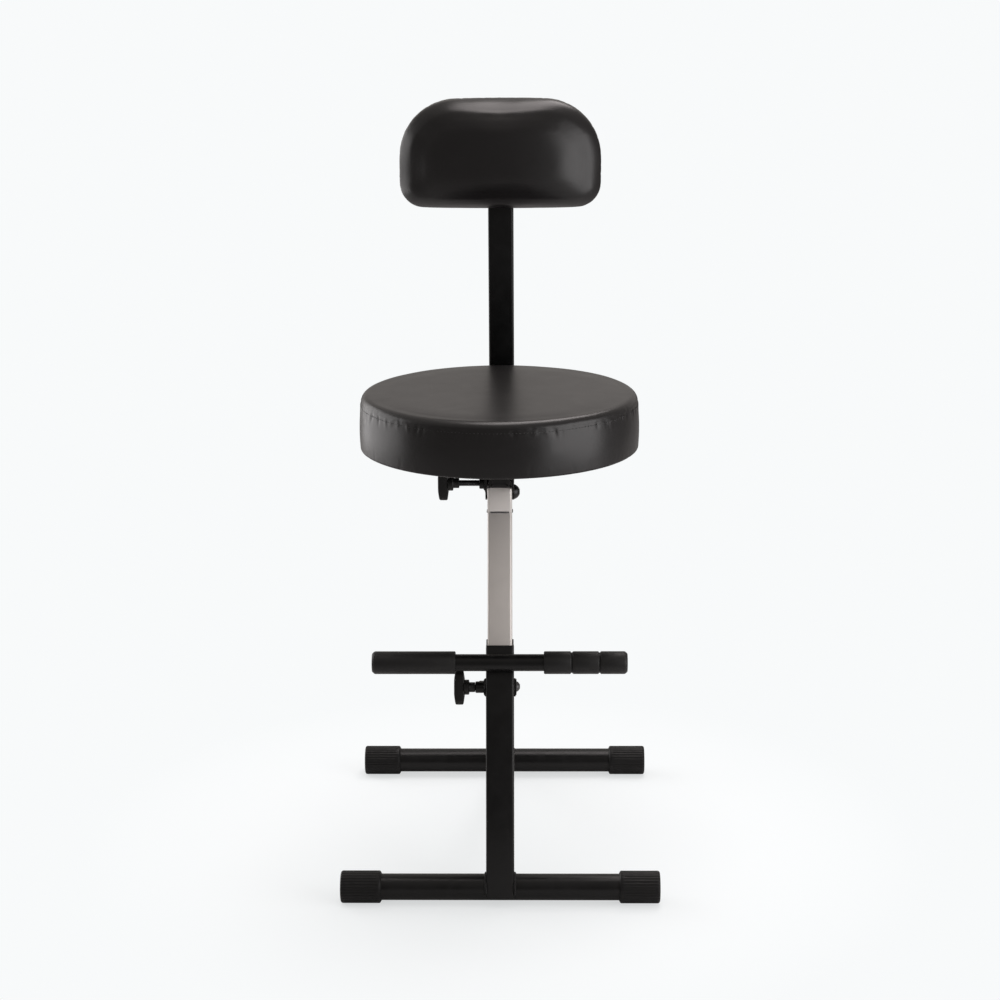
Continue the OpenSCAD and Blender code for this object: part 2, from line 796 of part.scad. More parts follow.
// ---------------------------------------------------------------- backrest arm

module arm_tube() {
    len = arm_front + riser_back + arm_w;
    color([0.04, 0.04, 0.045]) intersection() {
        on_seat_axis() translate([0, -arm_front, arm_mid_z]) rotate([-90, 0, 0])
            square_tube(arm_w, arm_wall, len);
        before_elbow();
    }
}

module arm_plug() {
    color([0.02, 0.02, 0.02]) on_seat_axis() translate([0, -arm_front, arm_mid_z]) rotate([90, 0, 0])
        tube_plug(arm_w, arm_wall, arm_plug_depth, arm_w - 2 * head_inset, arm_plug_head_t);
}

module riser_tube() {
    color([0.04, 0.04, 0.045]) difference() {
        on_seat_axis() translate([0, riser_back, arm_z - arm_w])
            square_tube(arm_w, arm_wall, riser_h + arm_w);
        before_elbow();
    }
}

module riser_plug() {
    color([0.03, 0.03, 0.03]) on_seat_axis() translate([0, riser_back, arm_z + riser_h])
        tube_plug(arm_w, arm_wall, arm_plug_depth, arm_w - 2 * head_inset, arm_plug_head_t);
}

module arm_screw() {
    reach = bracket_out + arm_boss_len + arm_screw_bare;
    color("silver") on_seat_axis() translate([-reach, -arm_clamp_front, arm_clamp_z]) rotate([0, -90, 0])
        tee_screw(reach - arm_w / 2 - tip_gap);
}

module arm_knob() {
    reach = bracket_out + arm_boss_len + arm_screw_bare;
    color([0.03, 0.03, 0.03]) on_seat_axis() translate([-reach, -arm_clamp_front, arm_clamp_z])
        rotate([0, -90, 0]) tee_knob();
}

// ---------------------------------------------------------------- backrest

// Places its children on a screw's axis, z running back out of the sleeve's face
module at_backrest_screws() {
    for (z = pad_screw_z) translate([0, 0, z]) rotate([-90, 0, 0]) children();
}

module backrest_sleeve() {
    color([0.04, 0.04, 0.045]) on_seat_axis() difference() {
        translate([0, riser_back, sleeve_z]) square_tube(sleeve_w, sleeve_wall, sleeve_len);
        translate([0, riser_back, sleeve_clamp_z]) rotate([-90, 0, 0])
            cylinder(d = screw_d + 2 * hole_gap, h = sleeve_w);
        translate([0, sleeve_face - over, 0]) at_backrest_screws()
            cylinder(d = pad_screw_d + 2 * hole_gap, h = sleeve_w + 2 * over);
    }
}

module sleeve_liners() {
    outer = sleeve_w - 2 * sleeve_wall - 2 * press_gap;
    color([0.03, 0.03, 0.03]) on_seat_axis() for (z = [sleeve_z, upper_liner_z])
        translate([0, riser_back, z]) difference() {
            square_bar(outer, tube_r - sleeve_wall / 2, liner_len);
            translate([0, 0, -over]) square_bar(arm_w + 2 * slide_gap, tube_r, liner_len + 2 * over);
            translate([0, 0, sleeve_clamp_rise]) rotate([-90, 0, 0])
                cylinder(d = screw_d + 2 * hole_gap, h = sleeve_w);
        }
}

module sleeve_cap() {
    plug_depth = 12;
    head_t = 2.5;
    color([0.03, 0.03, 0.03]) on_seat_axis() translate([0, riser_back, sleeve_top])
        tube_plug(sleeve_w, sleeve_wall, plug_depth, sleeve_w - 2 * head_inset, head_t);
}

module sleeve_boss() {
    color([0.04, 0.04, 0.045]) on_seat_axis() translate([0, sleeve_back, sleeve_clamp_z])
        rotate([-90, 0, 0]) tapped_boss(sleeve_boss_len);
}

// The backrest's outline, drawn in from the pad's edge all round, its foot on y = 0
module inset_outline(i) {
    pad_outline(pad_w - 2 * i, pad_h - 2 * i, pad_top_r - i, pad_bottom_r - i);
}

module backrest_board() {
    color([0.62, 0.47, 0.3]) on_seat_axis() difference() {
        translate([0, sleeve_face, pad_z + pad_board_inset]) rotate([90, 0, 0])
            linear_extrude(pad_board_t) inset_outline(pad_board_inset);
        translate([0, sleeve_face - pad_board_t - over, 0]) at_backrest_screws() {
            cylinder(d = tee_barrel_d + 2 * press_gap, h = pad_board_t + 2 * over);
            cylinder(d = tee_flange_d + 2 * press_gap, h = tee_flange_t + over);
        }
    }
}

module backrest_tee_nuts() {
    color("silver") on_seat_axis() for (z = pad_screw_z)
        translate([0, sleeve_face - pad_board_t + tee_flange_t, z]) rotate([90, 0, 0])
            tee_nut(pad_board_t - tee_flange_t - tee_end_gap);
}

module backrest_screws() {
    len = sleeve_w + pad_board_t - tee_flange_t;
    color("silver") on_seat_axis() for (z = pad_screw_z)
        translate([0, sleeve_back, z]) rotate([90, 0, 0]) pad_screw(len);
}

module backrest_cover() {
    inset = pad_board_inset + 6;
    side_gap = 1;
    top_gap = 4;
    color([0.06, 0.06, 0.06]) on_seat_axis() difference() {
        translate([0, sleeve_face + soft_gap + cover_t, pad_z + inset]) rotate([90, 0, 0])
            linear_extrude(cover_t) inset_outline(inset);
        translate([-sleeve_w / 2 - side_gap, 0, 0])
            cube([sleeve_w + 2 * side_gap, big, sleeve_top + top_gap]);
    }
}

module backrest_pad() {
    pocket_inset = pad_board_inset - soft_gap;
    back = sleeve_face - soft_gap;
    edge = 14;
    color([0.07, 0.07, 0.07]) on_seat_axis() difference() {
        union() {
            translate([0, back, pad_z]) rotate([90, 0, 0])
                linear_extrude(pad_t - edge) inset_outline(0);
            translate([0, back - pad_t + edge + over, pad_z + edge / 2]) rotate([90, 0, 0])
                linear_extrude(edge / 2 + over) inset_outline(edge / 2);
            translate([0, back - pad_t + edge, pad_z + edge]) rotate([90, 0, 0])
                linear_extrude(edge) inset_outline(edge);
        }
        translate([0, back + over, pad_z + pocket_inset]) rotate([90, 0, 0])
            linear_extrude(pad_board_t + over) inset_outline(pocket_inset);
    }
}

module sleeve_screw() {
    reach = sleeve_w / 2 + sleeve_boss_len + slide_gap;
    color("silver") on_seat_axis() translate([0, riser_back + reach, sleeve_clamp_z])
        rotate([-90, 0, 0]) tee_screw(reach - arm_w / 2 - tip_gap);
}

module sleeve_knob() {
    reach = sleeve_w / 2 + sleeve_boss_len + slide_gap;
    color([0.03, 0.03, 0.03]) on_seat_axis() translate([0, riser_back + reach, sleeve_clamp_z])
        rotate([-90, 0, 0]) tee_knob();
}

front_base_tube();
front_cap_left();
front_cap_right();
front_leg();
leg_guide();
lock_boss();
pivot_plate_left();
pivot_plate_right();
pivot_bolt();
pivot_nut();
footrest_tube();
footrest_grip_left();
footrest_grip_right();
rear_base_tube();
rear_cap_left();
rear_cap_right();
rear_leg();
pivot_sleeve();
rear_leg_stop();
lock_screw();
lock_knob();
seat_post();
post_glide();
post_head();
arm_rest();
seat_bracket();
arm_boss();
cross_bolt();
seat_plate();
seat_board();
seat_cushion();
seat_screws();
seat_tee_nuts();
seat_dust_cover();
arm_tube();
arm_plug();
riser_tube();
riser_plug();
arm_screw();
arm_knob();
backrest_sleeve();
sleeve_liners();
sleeve_cap();
sleeve_boss();
backrest_board();
backrest_pad();
backrest_screws();
backrest_tee_nuts();
backrest_cover();
sleeve_screw();
sleeve_knob();
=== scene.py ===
"""A performer's throne: round padded seat, folding base, footrest and padded backrest.

Shapes are worked out in millimetres and turned into metres as each piece is finished.
"""

import logging
import math
import random
from collections.abc import Callable, Sequence
from dataclasses import dataclass, field
from enum import Enum

import bmesh
import bpy
import numpy as np
from bmesh.types import BMEdge, BMFace, BMVert
from mathutils import Matrix, Vector
from mathutils.kdtree import KDTree


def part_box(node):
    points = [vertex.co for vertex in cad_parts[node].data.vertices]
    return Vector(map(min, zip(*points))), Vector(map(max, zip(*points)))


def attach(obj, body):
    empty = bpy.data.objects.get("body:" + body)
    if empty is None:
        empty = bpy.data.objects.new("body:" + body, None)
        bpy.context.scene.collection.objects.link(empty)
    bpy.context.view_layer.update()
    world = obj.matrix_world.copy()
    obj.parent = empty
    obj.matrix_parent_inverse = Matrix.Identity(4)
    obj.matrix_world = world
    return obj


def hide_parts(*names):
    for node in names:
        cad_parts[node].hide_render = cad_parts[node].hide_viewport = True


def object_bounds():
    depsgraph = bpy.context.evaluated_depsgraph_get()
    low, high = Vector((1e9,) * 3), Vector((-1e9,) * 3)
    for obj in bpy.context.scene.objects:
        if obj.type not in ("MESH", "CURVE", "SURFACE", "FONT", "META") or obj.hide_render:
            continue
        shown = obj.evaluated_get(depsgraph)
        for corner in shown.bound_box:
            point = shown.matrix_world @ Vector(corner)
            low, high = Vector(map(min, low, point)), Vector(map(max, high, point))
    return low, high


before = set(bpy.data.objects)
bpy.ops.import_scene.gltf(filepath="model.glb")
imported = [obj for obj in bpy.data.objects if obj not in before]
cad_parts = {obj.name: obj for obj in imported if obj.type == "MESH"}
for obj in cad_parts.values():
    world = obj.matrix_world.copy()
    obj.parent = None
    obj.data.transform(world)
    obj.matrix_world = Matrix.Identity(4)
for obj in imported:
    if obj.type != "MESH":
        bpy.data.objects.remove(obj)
CAD_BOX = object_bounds()

MM = 0.001
RIPPLE = 0.12  # how much a weld's ripples swell it
BAR_WELD_R = 16.9  # radius of the path that a weld takes round a base bar
CAP_END = 4.0  # how far a cap or grip closes past the end of its tube
CLOTH_T = 0.45  # thickness of a dust cover
CLOTH_FRAMES = 20  # how long a skin is left to swell
LOG = logging.getLogger("throne")
Triple = tuple[float, float, float]
Profile = Sequence[tuple[float, float]]
Socket = bpy.types.NodeSocket


class Slot(str, Enum):
    """The record's material slots."""

    BLACK_STEEL = "black_steel"
    SILVER_STEEL = "silver_steel"
    ZINC = "zinc"
    BLACK_SCREW = "black_screw"
    BLACK_PLASTIC = "black_plastic"
    GRIP_RUBBER = "grip_rubber"
    SEAT_VINYL = "seat_vinyl"
    PLYWOOD = "plywood"
    DUST_CLOTH = "dust_cloth"


class Side(Enum):
    """Which side of the throne a mirrored piece is on."""

    LEFT = -1
    RIGHT = 1


# ------------------------------------------------------------------ finishes


class NodeGraph:
    """A material's nodes, added one by one."""

    def __init__(self, tree: bpy.types.NodeTree) -> None:
        """Empties the tree and builds in it."""
        self.tree = tree
        tree.nodes.clear()

    def feed(self, node: bpy.types.Node, inputs: dict) -> None:
        """Gives a node its inputs.

        Args:
            node: The node.
            inputs: Values or sockets by the input's name or number.
        """
        for key, value in inputs.items():
            if isinstance(value, Socket):
                self.tree.links.new(value, node.inputs[key])
            else:
                node.inputs[key].default_value = value

    def add(self, kind: str, inputs: dict | None = None, **settings: object) -> bpy.types.Node:
        """Adds a node.

        Args:
            kind: The node's type without its ShaderNode prefix.
            inputs: Values or sockets for its inputs, by name or number.
            settings: Its other properties.

        Returns:
            The new node.
        """
        node = self.tree.nodes.new("ShaderNode" + kind)
        for name, value in settings.items():
            setattr(node, name, value)
        self.feed(node, inputs or {})
        return node

    def coordinates(self, scale: Triple = (1, 1, 1), turn: Triple = (0, 0, 0)) -> Socket:
        """Object coordinates, turned and then scaled.

        Args:
            scale: Scale along each axis after the turn.
            turn: Turn about each axis in degrees.

        Returns:
            The vector socket.
        """
        place = self.add("TexCoord").outputs["Object"]
        turned = self.add("Mapping", {"Vector": place, "Rotation": [math.radians(a) for a in turn]})
        return self.add("Mapping", {"Vector": turned.outputs[0], "Scale": scale}).outputs[0]

    def noise(self, vector: Socket, scale: float, detail: float = 3,
              distortion: float = 0) -> Socket:
        """Noise between 0 and 1, with so many cells for each metre."""
        return self.add("TexNoise", {"Vector": vector, "Scale": scale, "Detail": detail,
                                     "Distortion": distortion}).outputs["Fac"]

    def span(self, value: Socket, low: float, high: float,
             start: float = 0.3, end: float = 0.7) -> Socket:
        """Maps a value's range from start to end on to low to high, clamped."""
        return self.add("MapRange", {"Value": value, "From Min": start, "From Max": end,
                                     "To Min": low, "To Max": high}).outputs[0]

    def mix(self, factor: Socket, first: object, second: object) -> Socket:
        """A colour between two colours or sockets, which is the first at a factor of 0."""
        return self.add("Mix", {0: factor, 6: rgba(first), 7: rgba(second)}, data_type="RGBA").outputs[2]

    def maths(self, operation: str, first: object, second: object = 0.0) -> Socket:
        """The result of an operation on two numbers or sockets."""
        return self.add("Math", {0: first, 1: second}, operation=operation).outputs[0]

    def bump(self, height: Socket, depth: float, strength: float = 1.0,
             normal: Socket | None = None) -> Socket:
        """Bumps a surface.

        Args:
            height: Height between 0 and 1.
            depth: What a height of 1 is, in millimetres.
            strength: Share of the effect that is kept.
            normal: A bump below this one.

        Returns:
            The normal socket.
        """
        inputs = {"Height": height, "Distance": depth * MM, "Strength": strength}
        if normal is not None:
            inputs["Normal"] = normal
        return self.add("Bump", inputs).outputs[0]

    def output(self, shader: bpy.types.Node, kind: str = "OutputMaterial") -> None:
        """Links a shader to the tree's output."""
        self.add(kind, {"Surface": shader.outputs[0]})


def rgba(colour: object) -> object:
    """A colour with its alpha; a socket is handed back as it is."""
    return (*colour, 1.0) if isinstance(colour, tuple) and len(colour) == 3 else colour


@dataclass(frozen=True)
class Finish:
    """A surface finish. Subclasses say how its colour, gloss and bump vary."""

    name: str
    slot: Slot
    colour: Triple
    roughness: float
    specular: float = 0.5

    def material(self) -> bpy.types.Material:
        """Makes the finish's material, or finds it if it is made already.

        Returns:
            The material.
        """
        made = bpy.data.materials.get(self.name)
        if made is None:
            made = bpy.data.materials.new(self.name)
            made.use_nodes = True
            graph = NodeGraph(made.node_tree)
            shader = graph.add("BsdfPrincipled", {"Specular IOR Level": self.specular})
            graph.feed(shader, self.channels(graph))
            graph.output(shader)
            made.diffuse_color = (*self.colour, 1.0)
        return made

    def channels(self, graph: NodeGraph) -> dict:
        """What goes to each input of the shader, as each kind of finish has it."""
        raise NotImplementedError

    def shade(self, times: float) -> Triple:
        """The finish's colour, lighter or darker by this factor."""
        return tuple(min(1.0, c * times) for c in self.colour)


@dataclass(frozen=True)
class PowderCoat(Finish):
    """Gloss black powder coat with a faint orange peel and dust."""

    peel: float = 0.02

    def channels(self, graph: NodeGraph) -> dict:
        """A powder-coated surface.

        Args:
            graph: Where its nodes go.

        Returns:
            The shader's inputs by name.
        """
        place = graph.coordinates()
        dust = graph.noise(place, 55, 6, 0.4)
        peel = graph.noise(place, 620, 2)
        return {
            "Base Color": graph.mix(graph.span(dust, 0, 1, 0.35, 0.75), self.colour, self.shade(1.8)),
            "Roughness": graph.span(dust, self.roughness, self.roughness + 0.12, 0.4, 0.8),
            "Normal": graph.bump(peel, self.peel, 0.6),
        }


@dataclass(frozen=True)
class Plated(Finish):
    """Bare or plated metal with fine lines along one direction."""

    lines: float = 0.012
    turn: Triple = (0, 0, 0)
    stretch: Triple = (1, 1, 0.02)
    patch: float = 0.75
    metallic: float = 1.0

    def channels(self, graph: NodeGraph) -> dict:
        """A metal surface.

        Args:
            graph: Where its nodes go.

        Returns:
            The shader's inputs by name.
        """
        along = graph.coordinates(self.stretch, self.turn)
        drawn = graph.noise(along, 900, 3)
        cloud = graph.noise(graph.coordinates(), 30, 5, 0.8)
        return {
            "Base Color": graph.mix(graph.span(cloud, 0, 1), self.colour, self.shade(self.patch)),
            "Metallic": self.metallic,
            "Roughness": graph.span(drawn, self.roughness - 0.05, self.roughness + 0.08, 0.25, 0.75),
            "Normal": graph.bump(drawn, self.lines, 0.5),
        }


@dataclass(frozen=True)
class Moulded(Finish):
    """Moulded plastic or rubber with a fine eroded texture and scuffs near the floor."""

    texture: float = 0.04
    grain: float = 1600

    def channels(self, graph: NodeGraph) -> dict:
        """A moulded surface.

        Args:
            graph: Where its nodes go.

        Returns:
            The shader's inputs by name.
        """
        place = graph.coordinates()
        height = graph.add("SeparateXYZ", {0: graph.add("TexCoord").outputs["Object"]}).outputs["Z"]
        scuff = graph.maths("MULTIPLY", graph.span(height, 1, 0, 0.0, 0.02),
                            graph.span(graph.noise(place, 140, 6, 1.0), 0, 1, 0.48, 0.66))
        return {
            "Base Color": graph.mix(scuff, self.colour, self.shade(3.5)),
            "Roughness": graph.span(graph.noise(place, 90, 4), self.roughness - 0.05, self.roughness + 0.07),
            "Normal": graph.bump(graph.noise(place, self.grain, 2), self.texture, 0.7),
        }


@dataclass(frozen=True)
class Leathercloth(Finish):
    """Vinyl leathercloth: pebbled grain, creases and a low sheen."""

    pebble: float = 1.25
    depth: float = 0.016

    def channels(self, graph: NodeGraph) -> dict:
        """An embossed vinyl.

        Args:
            graph: Where its nodes go.

        Returns:
            The shader's inputs by name.
        """
        place = graph.coordinates()
        warped = graph.add("VectorMath", {0: place, 1: graph.add(
            "VectorMath", {0: graph.add("TexNoise", {"Vector": place, "Scale": 260.0}).outputs["Color"],
                           "Scale": 0.0009}, operation="SCALE").outputs[0]}, operation="ADD").outputs[0]
        cells = graph.add("TexVoronoi", {"Vector": warped, "Scale": 1000 / self.pebble},
                          feature="DISTANCE_TO_EDGE").outputs["Distance"]
        pebbles = graph.span(cells, 0, 1, 0.0, 0.22)
        worn = graph.noise(place, 28, 4, 0.6)
        fine = graph.bump(graph.noise(place, 2600, 2), 0.012, 0.5)
        return {
            # The grooves between the pebbles are painted darker: painted shade in the grain's recesses. The
            # worn noise varies the tone at random.
            "Base Color": graph.mix(pebbles, self.shade(0.8), graph.mix(
                graph.span(worn, 0, 1, 0.35, 0.7), self.colour, self.shade(1.25))),
            "Roughness": graph.span(worn, self.roughness - 0.012, self.roughness + 0.022),
            "Normal": graph.bump(pebbles, self.depth, 0.4, fine),
        }


@dataclass(frozen=True)
class Plywood(Finish):
    """Birch plywood: plies on the edge and long grain on the faces."""

    ply: float = 1.6

    def channels(self, graph: NodeGraph) -> dict:
        """A sheet of plywood.

        Args:
            graph: Where its nodes go.

        Returns:
            The shader's inputs by name.
        """
        place = graph.coordinates()
        plies = graph.add("TexWave", {"Vector": place, "Scale": 1000 / self.ply / 20, "Distortion": 0.8,
                                      "Detail": 2.0}, bands_direction="Z").outputs["Fac"]
        grain = graph.noise(graph.coordinates((1, 0.06, 1)), 420, 5, 0.5)
        tone = graph.mix(graph.span(plies, 0, 1, 0.35, 0.65), self.colour, self.shade(0.7))
        return {
            "Base Color": graph.mix(graph.span(grain, 0, 0.55), tone, self.shade(0.55)),
            "Roughness": graph.span(grain, self.roughness - 0.06, self.roughness + 0.06),
            "Normal": graph.bump(grain, 0.06, 0.6),
        }


@dataclass(frozen=True)
class NonWoven(Finish):
    """Spun dust cloth, with bonded dimples and loose fibres."""

    dimple: float = 1.6

    def channels(self, graph: NodeGraph) -> dict:
        """A non-woven cloth.

        Args:
            graph: Where its nodes go.

        Returns:
            The shader's inputs by name.
        """
        place = graph.coordinates()
        dots = graph.add("TexVoronoi", {"Vector": place, "Scale": 1000 / self.dimple,
                                        "Randomness": 0.15}).outputs["Distance"]
        fibres = graph.noise(graph.coordinates((1, 0.15, 1), (0, 0, 35)), 1800, 4, 1.5)
        pits = graph.span(dots, 0, 1, 0.1, 0.4)
        return {
            "Base Color": graph.mix(graph.span(fibres, 0, 1), self.colour, self.shade(2.2)),
            "Roughness": graph.span(fibres, self.roughness - 0.05, self.roughness),
            "Sheen Weight": 0.25,
            "Normal": graph.bump(pits, 0.12, 0.6, graph.bump(fibres, 0.05, 0.5)),
        }


LEAN_TURN = 16.506  # degrees that the drawn lines of the post lean by
GLOSS_BLACK = PowderCoat("gloss_black_powder_coat", Slot.BLACK_STEEL, (0.0030, 0.0030, 0.0032), 0.30, 0.26)
SATIN_POST = Plated("satin_silver_post", Slot.SILVER_STEEL, (0.68, 0.65, 0.625), 0.44,
                    turn=(LEAN_TURN, 0, 0), patch=0.95, metallic=0.45)
# The head is the same plated steel as the post; its lighter colour is painted light, for the light its
# upright face catches.
SATIN_HEAD_PAINTED_LIGHT = Plated("satin_silver_head_painted_light", Slot.SILVER_STEEL, (0.80, 0.775, 0.755), 0.42,
                    patch=0.95, metallic=0.45)
BRIGHT_ZINC = Plated("bright_zinc", Slot.ZINC, (0.56, 0.56, 0.55), 0.30, stretch=(1, 1, 1))
# Dark zinc for the pivot bolt and nut; on the bend weld the same dark colour is painted shade along the
# joint's valley.
DULL_ZINC_AND_SEAM_SHADE = Plated("dull_zinc_and_seam_shade", Slot.ZINC, (0.11, 0.11, 0.112), 0.36, stretch=(1, 1, 1))
BLACK_OXIDE = Plated("black_oxide_steel", Slot.BLACK_SCREW, (0.045, 0.045, 0.048), 0.34,
                     stretch=(1, 1, 1), lines=0.006)
BLACK_NYLON = Moulded("black_moulded_nylon", Slot.BLACK_PLASTIC, (0.0050, 0.0050, 0.0052), 0.42, 0.34)
CAP_PLASTIC = Moulded("black_cap_plastic", Slot.BLACK_PLASTIC, (0.0040, 0.0040, 0.0042), 0.46, 0.24)
GRIP = Moulded("black_grip_rubber", Slot.GRIP_RUBBER, (0.0075, 0.0075, 0.0078), 0.50, 0.34,
               texture=0.06, grain=1100)
VINYL = Leathercloth("black_leathercloth", Slot.SEAT_VINYL, (0.0072, 0.0064, 0.0070), 0.32, 0.46)
THREAD = Moulded("black_bonded_thread", Slot.SEAT_VINYL, (0.020, 0.020, 0.021), 0.5,
                 texture=0.1, grain=2400)
BIRCH = Plywood("birch_plywood", Slot.PLYWOOD, (0.60, 0.43, 0.26), 0.6)
DUST_CLOTH = NonWoven("black_dust_cloth", Slot.DUST_CLOTH, (0.016, 0.016, 0.017), 0.92)


# ------------------------------------------------------------------ shapes


class Form:
    """A closed mesh under construction, in millimetres."""

    def __init__(self) -> None:
        """Starts empty."""
        self.bm = bmesh.new()

    def block(self, low: Triple, high: Triple) -> list[BMVert]:
        """Adds a block.

        Args:
            low: Its lowest corner.
            high: Its highest corner.

        Returns:
            Its vertices.
        """
        made = bmesh.ops.create_cube(self.bm, size=1.0)["verts"]
        bmesh.ops.scale(self.bm, vec=Vector(high) - Vector(low), verts=made)
        bmesh.ops.translate(self.bm, vec=(Vector(low) + Vector(high)) / 2, verts=made)
        return made

    def edges(self, test: Callable[[BMEdge], bool]) -> list[BMEdge]:
        """The edges that pass a test."""
        return [e for e in self.bm.edges if test(e)]

    def along(self, axis: int, where: Callable[[Vector], bool] = lambda middle: True) -> list[BMEdge]:
        """The edges along x, y or z, as 0, 1 or 2, whose middles pass a test."""
        return self.edges(lambda e: abs((e.verts[1].co - e.verts[0].co).normalized()[axis]) > 0.999
                          and where((e.verts[0].co + e.verts[1].co) / 2))

    def round_edges(self, edges: Sequence[BMEdge], radius: float, segments: int = 4) -> None:
        """Rounds these edges, with so many facets across the rounding."""
        bmesh.ops.bevel(self.bm, geom=list(edges), offset=radius, offset_type="OFFSET", segments=segments,
                        profile=0.5, affect="EDGES", clamp_overlap=True, material=-1)

    def round_corners(self, test: Callable[[Vector], bool], radius: float, segments: int) -> None:
        """Rounds the corners of an open sheet whose places pass a test."""
        corners = [v for v in self.bm.verts if test(v.co)]
        bmesh.ops.bevel(self.bm, geom=corners, offset=radius, offset_type="OFFSET", segments=segments,
                        profile=0.5, affect="VERTICES", material=-1)

    def soften(self, radius: float, segments: int = 2, angle: float = 40) -> None:
        """Rounds every edge between faces that turn by more than this angle."""
        sharp = self.edges(lambda e: e.is_manifold and e.calc_face_angle(0) > math.radians(angle))
        self.round_edges(sharp, radius, segments)

    def cut(self, point: Triple, normal: Triple, clear: bool = True, fill: bool = False) -> None:
        """Cuts with a plane.

        Args:
            point: A point on it.
            normal: Its normal, which points at what is cleared.
            clear: Whether that side goes.
            fill: Whether the opening is closed with a flat face.
        """
        bmesh.ops.bisect_plane(self.bm, geom=[*self.bm.verts, *self.bm.edges, *self.bm.faces],
                               plane_co=point, plane_no=normal, clear_outer=clear, dist=1e-5)
        if fill:
            bmesh.ops.holes_fill(self.bm, edges=self.edges(lambda e: e.is_boundary), sides=0)

    def drop_faces(self, test: Callable[[BMFace], bool]) -> None:
        """Deletes the faces that pass a test, and the edges and points that they leave loose."""
        bmesh.ops.delete(self.bm, geom=[f for f in self.bm.faces if test(f)], context="FACES")

    def open_ends(self, axis: int = 2) -> None:
        """Takes off the faces that close a bar at both ends of an axis."""
        self.bm.normal_update()
        self.drop_faces(lambda f: abs(f.normal[axis]) > 0.999)

    def square_bar(self, width: float, corner: float, low: float, high: float, segments: int = 5) -> None:
        """Adds a square bar along z with rounded long edges.

        Args:
            width: Across its flats.
            corner: Radius of its long edges.
            low: Where it starts.
            high: Where it ends.
            segments: Facets round each corner.
        """
        verts = set(self.block((-width / 2, -width / 2, low), (width / 2, width / 2, high)))
        self.round_edges([e for e in self.along(2) if e.verts[0] in verts], corner, segments)

    def wall(self, thickness: float, rim: float = 0.35) -> None:
        """Turns an open skin into a wall that grows inwards, and softens its rims.

        Args:
            thickness: Thickness of the wall.
            rim: Rounding of the rims.
        """
        bmesh.ops.solidify(self.bm, geom=self.bm.faces[:], thickness=thickness)
        if rim:
            self.soften(min(rim, thickness * 0.35), 2, 50)

    def lathe(self, profile: Profile, steps: int = 64, loop: bool = False) -> None:
        """Adds a shape turned about z.

        Args:
            profile: Its outline as radius and height.
            steps: Facets round it.
            loop: Whether the outline closes on itself, as for a tube.
        """
        verts = [self.bm.verts.new((r, 0, z)) for r, z in profile]
        pairs = list(zip(verts, verts[1:])) + ([(verts[-1], verts[0])] if loop else [])
        edges = [self.bm.edges.new(p) for p in pairs]
        before = set(self.bm.faces)
        bmesh.ops.spin(self.bm, geom=verts + edges, cent=(0, 0, 0), axis=(0, 0, 1), angle=math.tau,
                       steps=steps, use_merge=True, use_duplicate=False)
        faces = [f for f in self.bm.faces if f not in before]
        points = list({v for f in faces for v in f.verts})
        bmesh.ops.remove_doubles(self.bm, verts=points, dist=1e-4)
        bmesh.ops.recalc_face_normals(self.bm, faces=[f for f in self.bm.faces if f not in before])

    def outward(self) -> None:
        """Turns every face outwards."""
        bmesh.ops.recalc_face_normals(self.bm, faces=self.bm.faces[:])

    def turn_faces(self, inside: Triple) -> None:
        """Turns the faces of an open sheet so that its first one looks away from a point.

        Args:
            inside: The point.
        """
        self.outward()
        first = self.bm.faces[0]
        if first.normal.dot(first.calc_center_median() - Vector(inside)) < 0:
            bmesh.ops.reverse_faces(self.bm, faces=self.bm.faces[:])

    def area(self) -> float:
        """The area of all the faces, in square metres."""
        return sum(f.calc_area() for f in self.bm.faces) * MM * MM

    def shift(self, geom: Sequence[object], move: Triple) -> None:
        """Moves the points among some points, edges and faces."""
        bmesh.ops.translate(self.bm, vec=move, verts=[v for v in geom if isinstance(v, BMVert)])

    def place(self, matrix: Matrix) -> "Form":
        """Moves the whole form.

        Args:
            matrix: The move, which may mirror it.

        Returns:
            The form.
        """
        bmesh.ops.transform(self.bm, matrix=matrix, verts=self.bm.verts[:])
        if matrix.determinant() < 0:
            self.outward()
        return self

    def lay(self, side: Side, start: float) -> "Form":
        """Lays a form that was made along z out along x, mirrored on the left.

        Args:
            side: The side that it lies on.
            start: Distance of its start from the middle.

        Returns:
            The form.
        """
        self.place(turned("Y", 90, (start, 0, 0)))
        return self.place(Matrix.Scale(-1, 4, (1, 0, 0))) if side is Side.LEFT else self

    def copy(self) -> "Form":
        """A copy of the form.

        Returns:
            The copy.
        """
        made = Form()
        made.bm.free()
        made.bm = self.bm.copy()
        return made

    def join(self, *others: "Form") -> "Form":
        """Takes in other forms.

        Args:
            others: The forms, which end with this.

        Returns:
            The form.
        """
        for other in others:
            mesh = bpy.data.meshes.new("joining")
            other.bm.to_mesh(mesh)
            other.bm.free()
            self.bm.from_mesh(mesh)
            bpy.data.meshes.remove(mesh)
        return self

    def push(self, move: Callable[[Vector], Vector]) -> None:
        """Moves each point to where a function puts it."""
        for v in self.bm.verts:
            v.co = move(v.co.copy())

    def mesh(self, name: str) -> bpy.types.Mesh:
        """Ends the form as a mesh in metres.

        Args:
            name: The mesh's name.

        Returns:
            The mesh.
        """
        bmesh.ops.scale(self.bm, vec=(MM, MM, MM), verts=self.bm.verts[:])
        made = bpy.data.meshes.new(name)
        self.bm.to_mesh(made)
        self.bm.free()
        return made

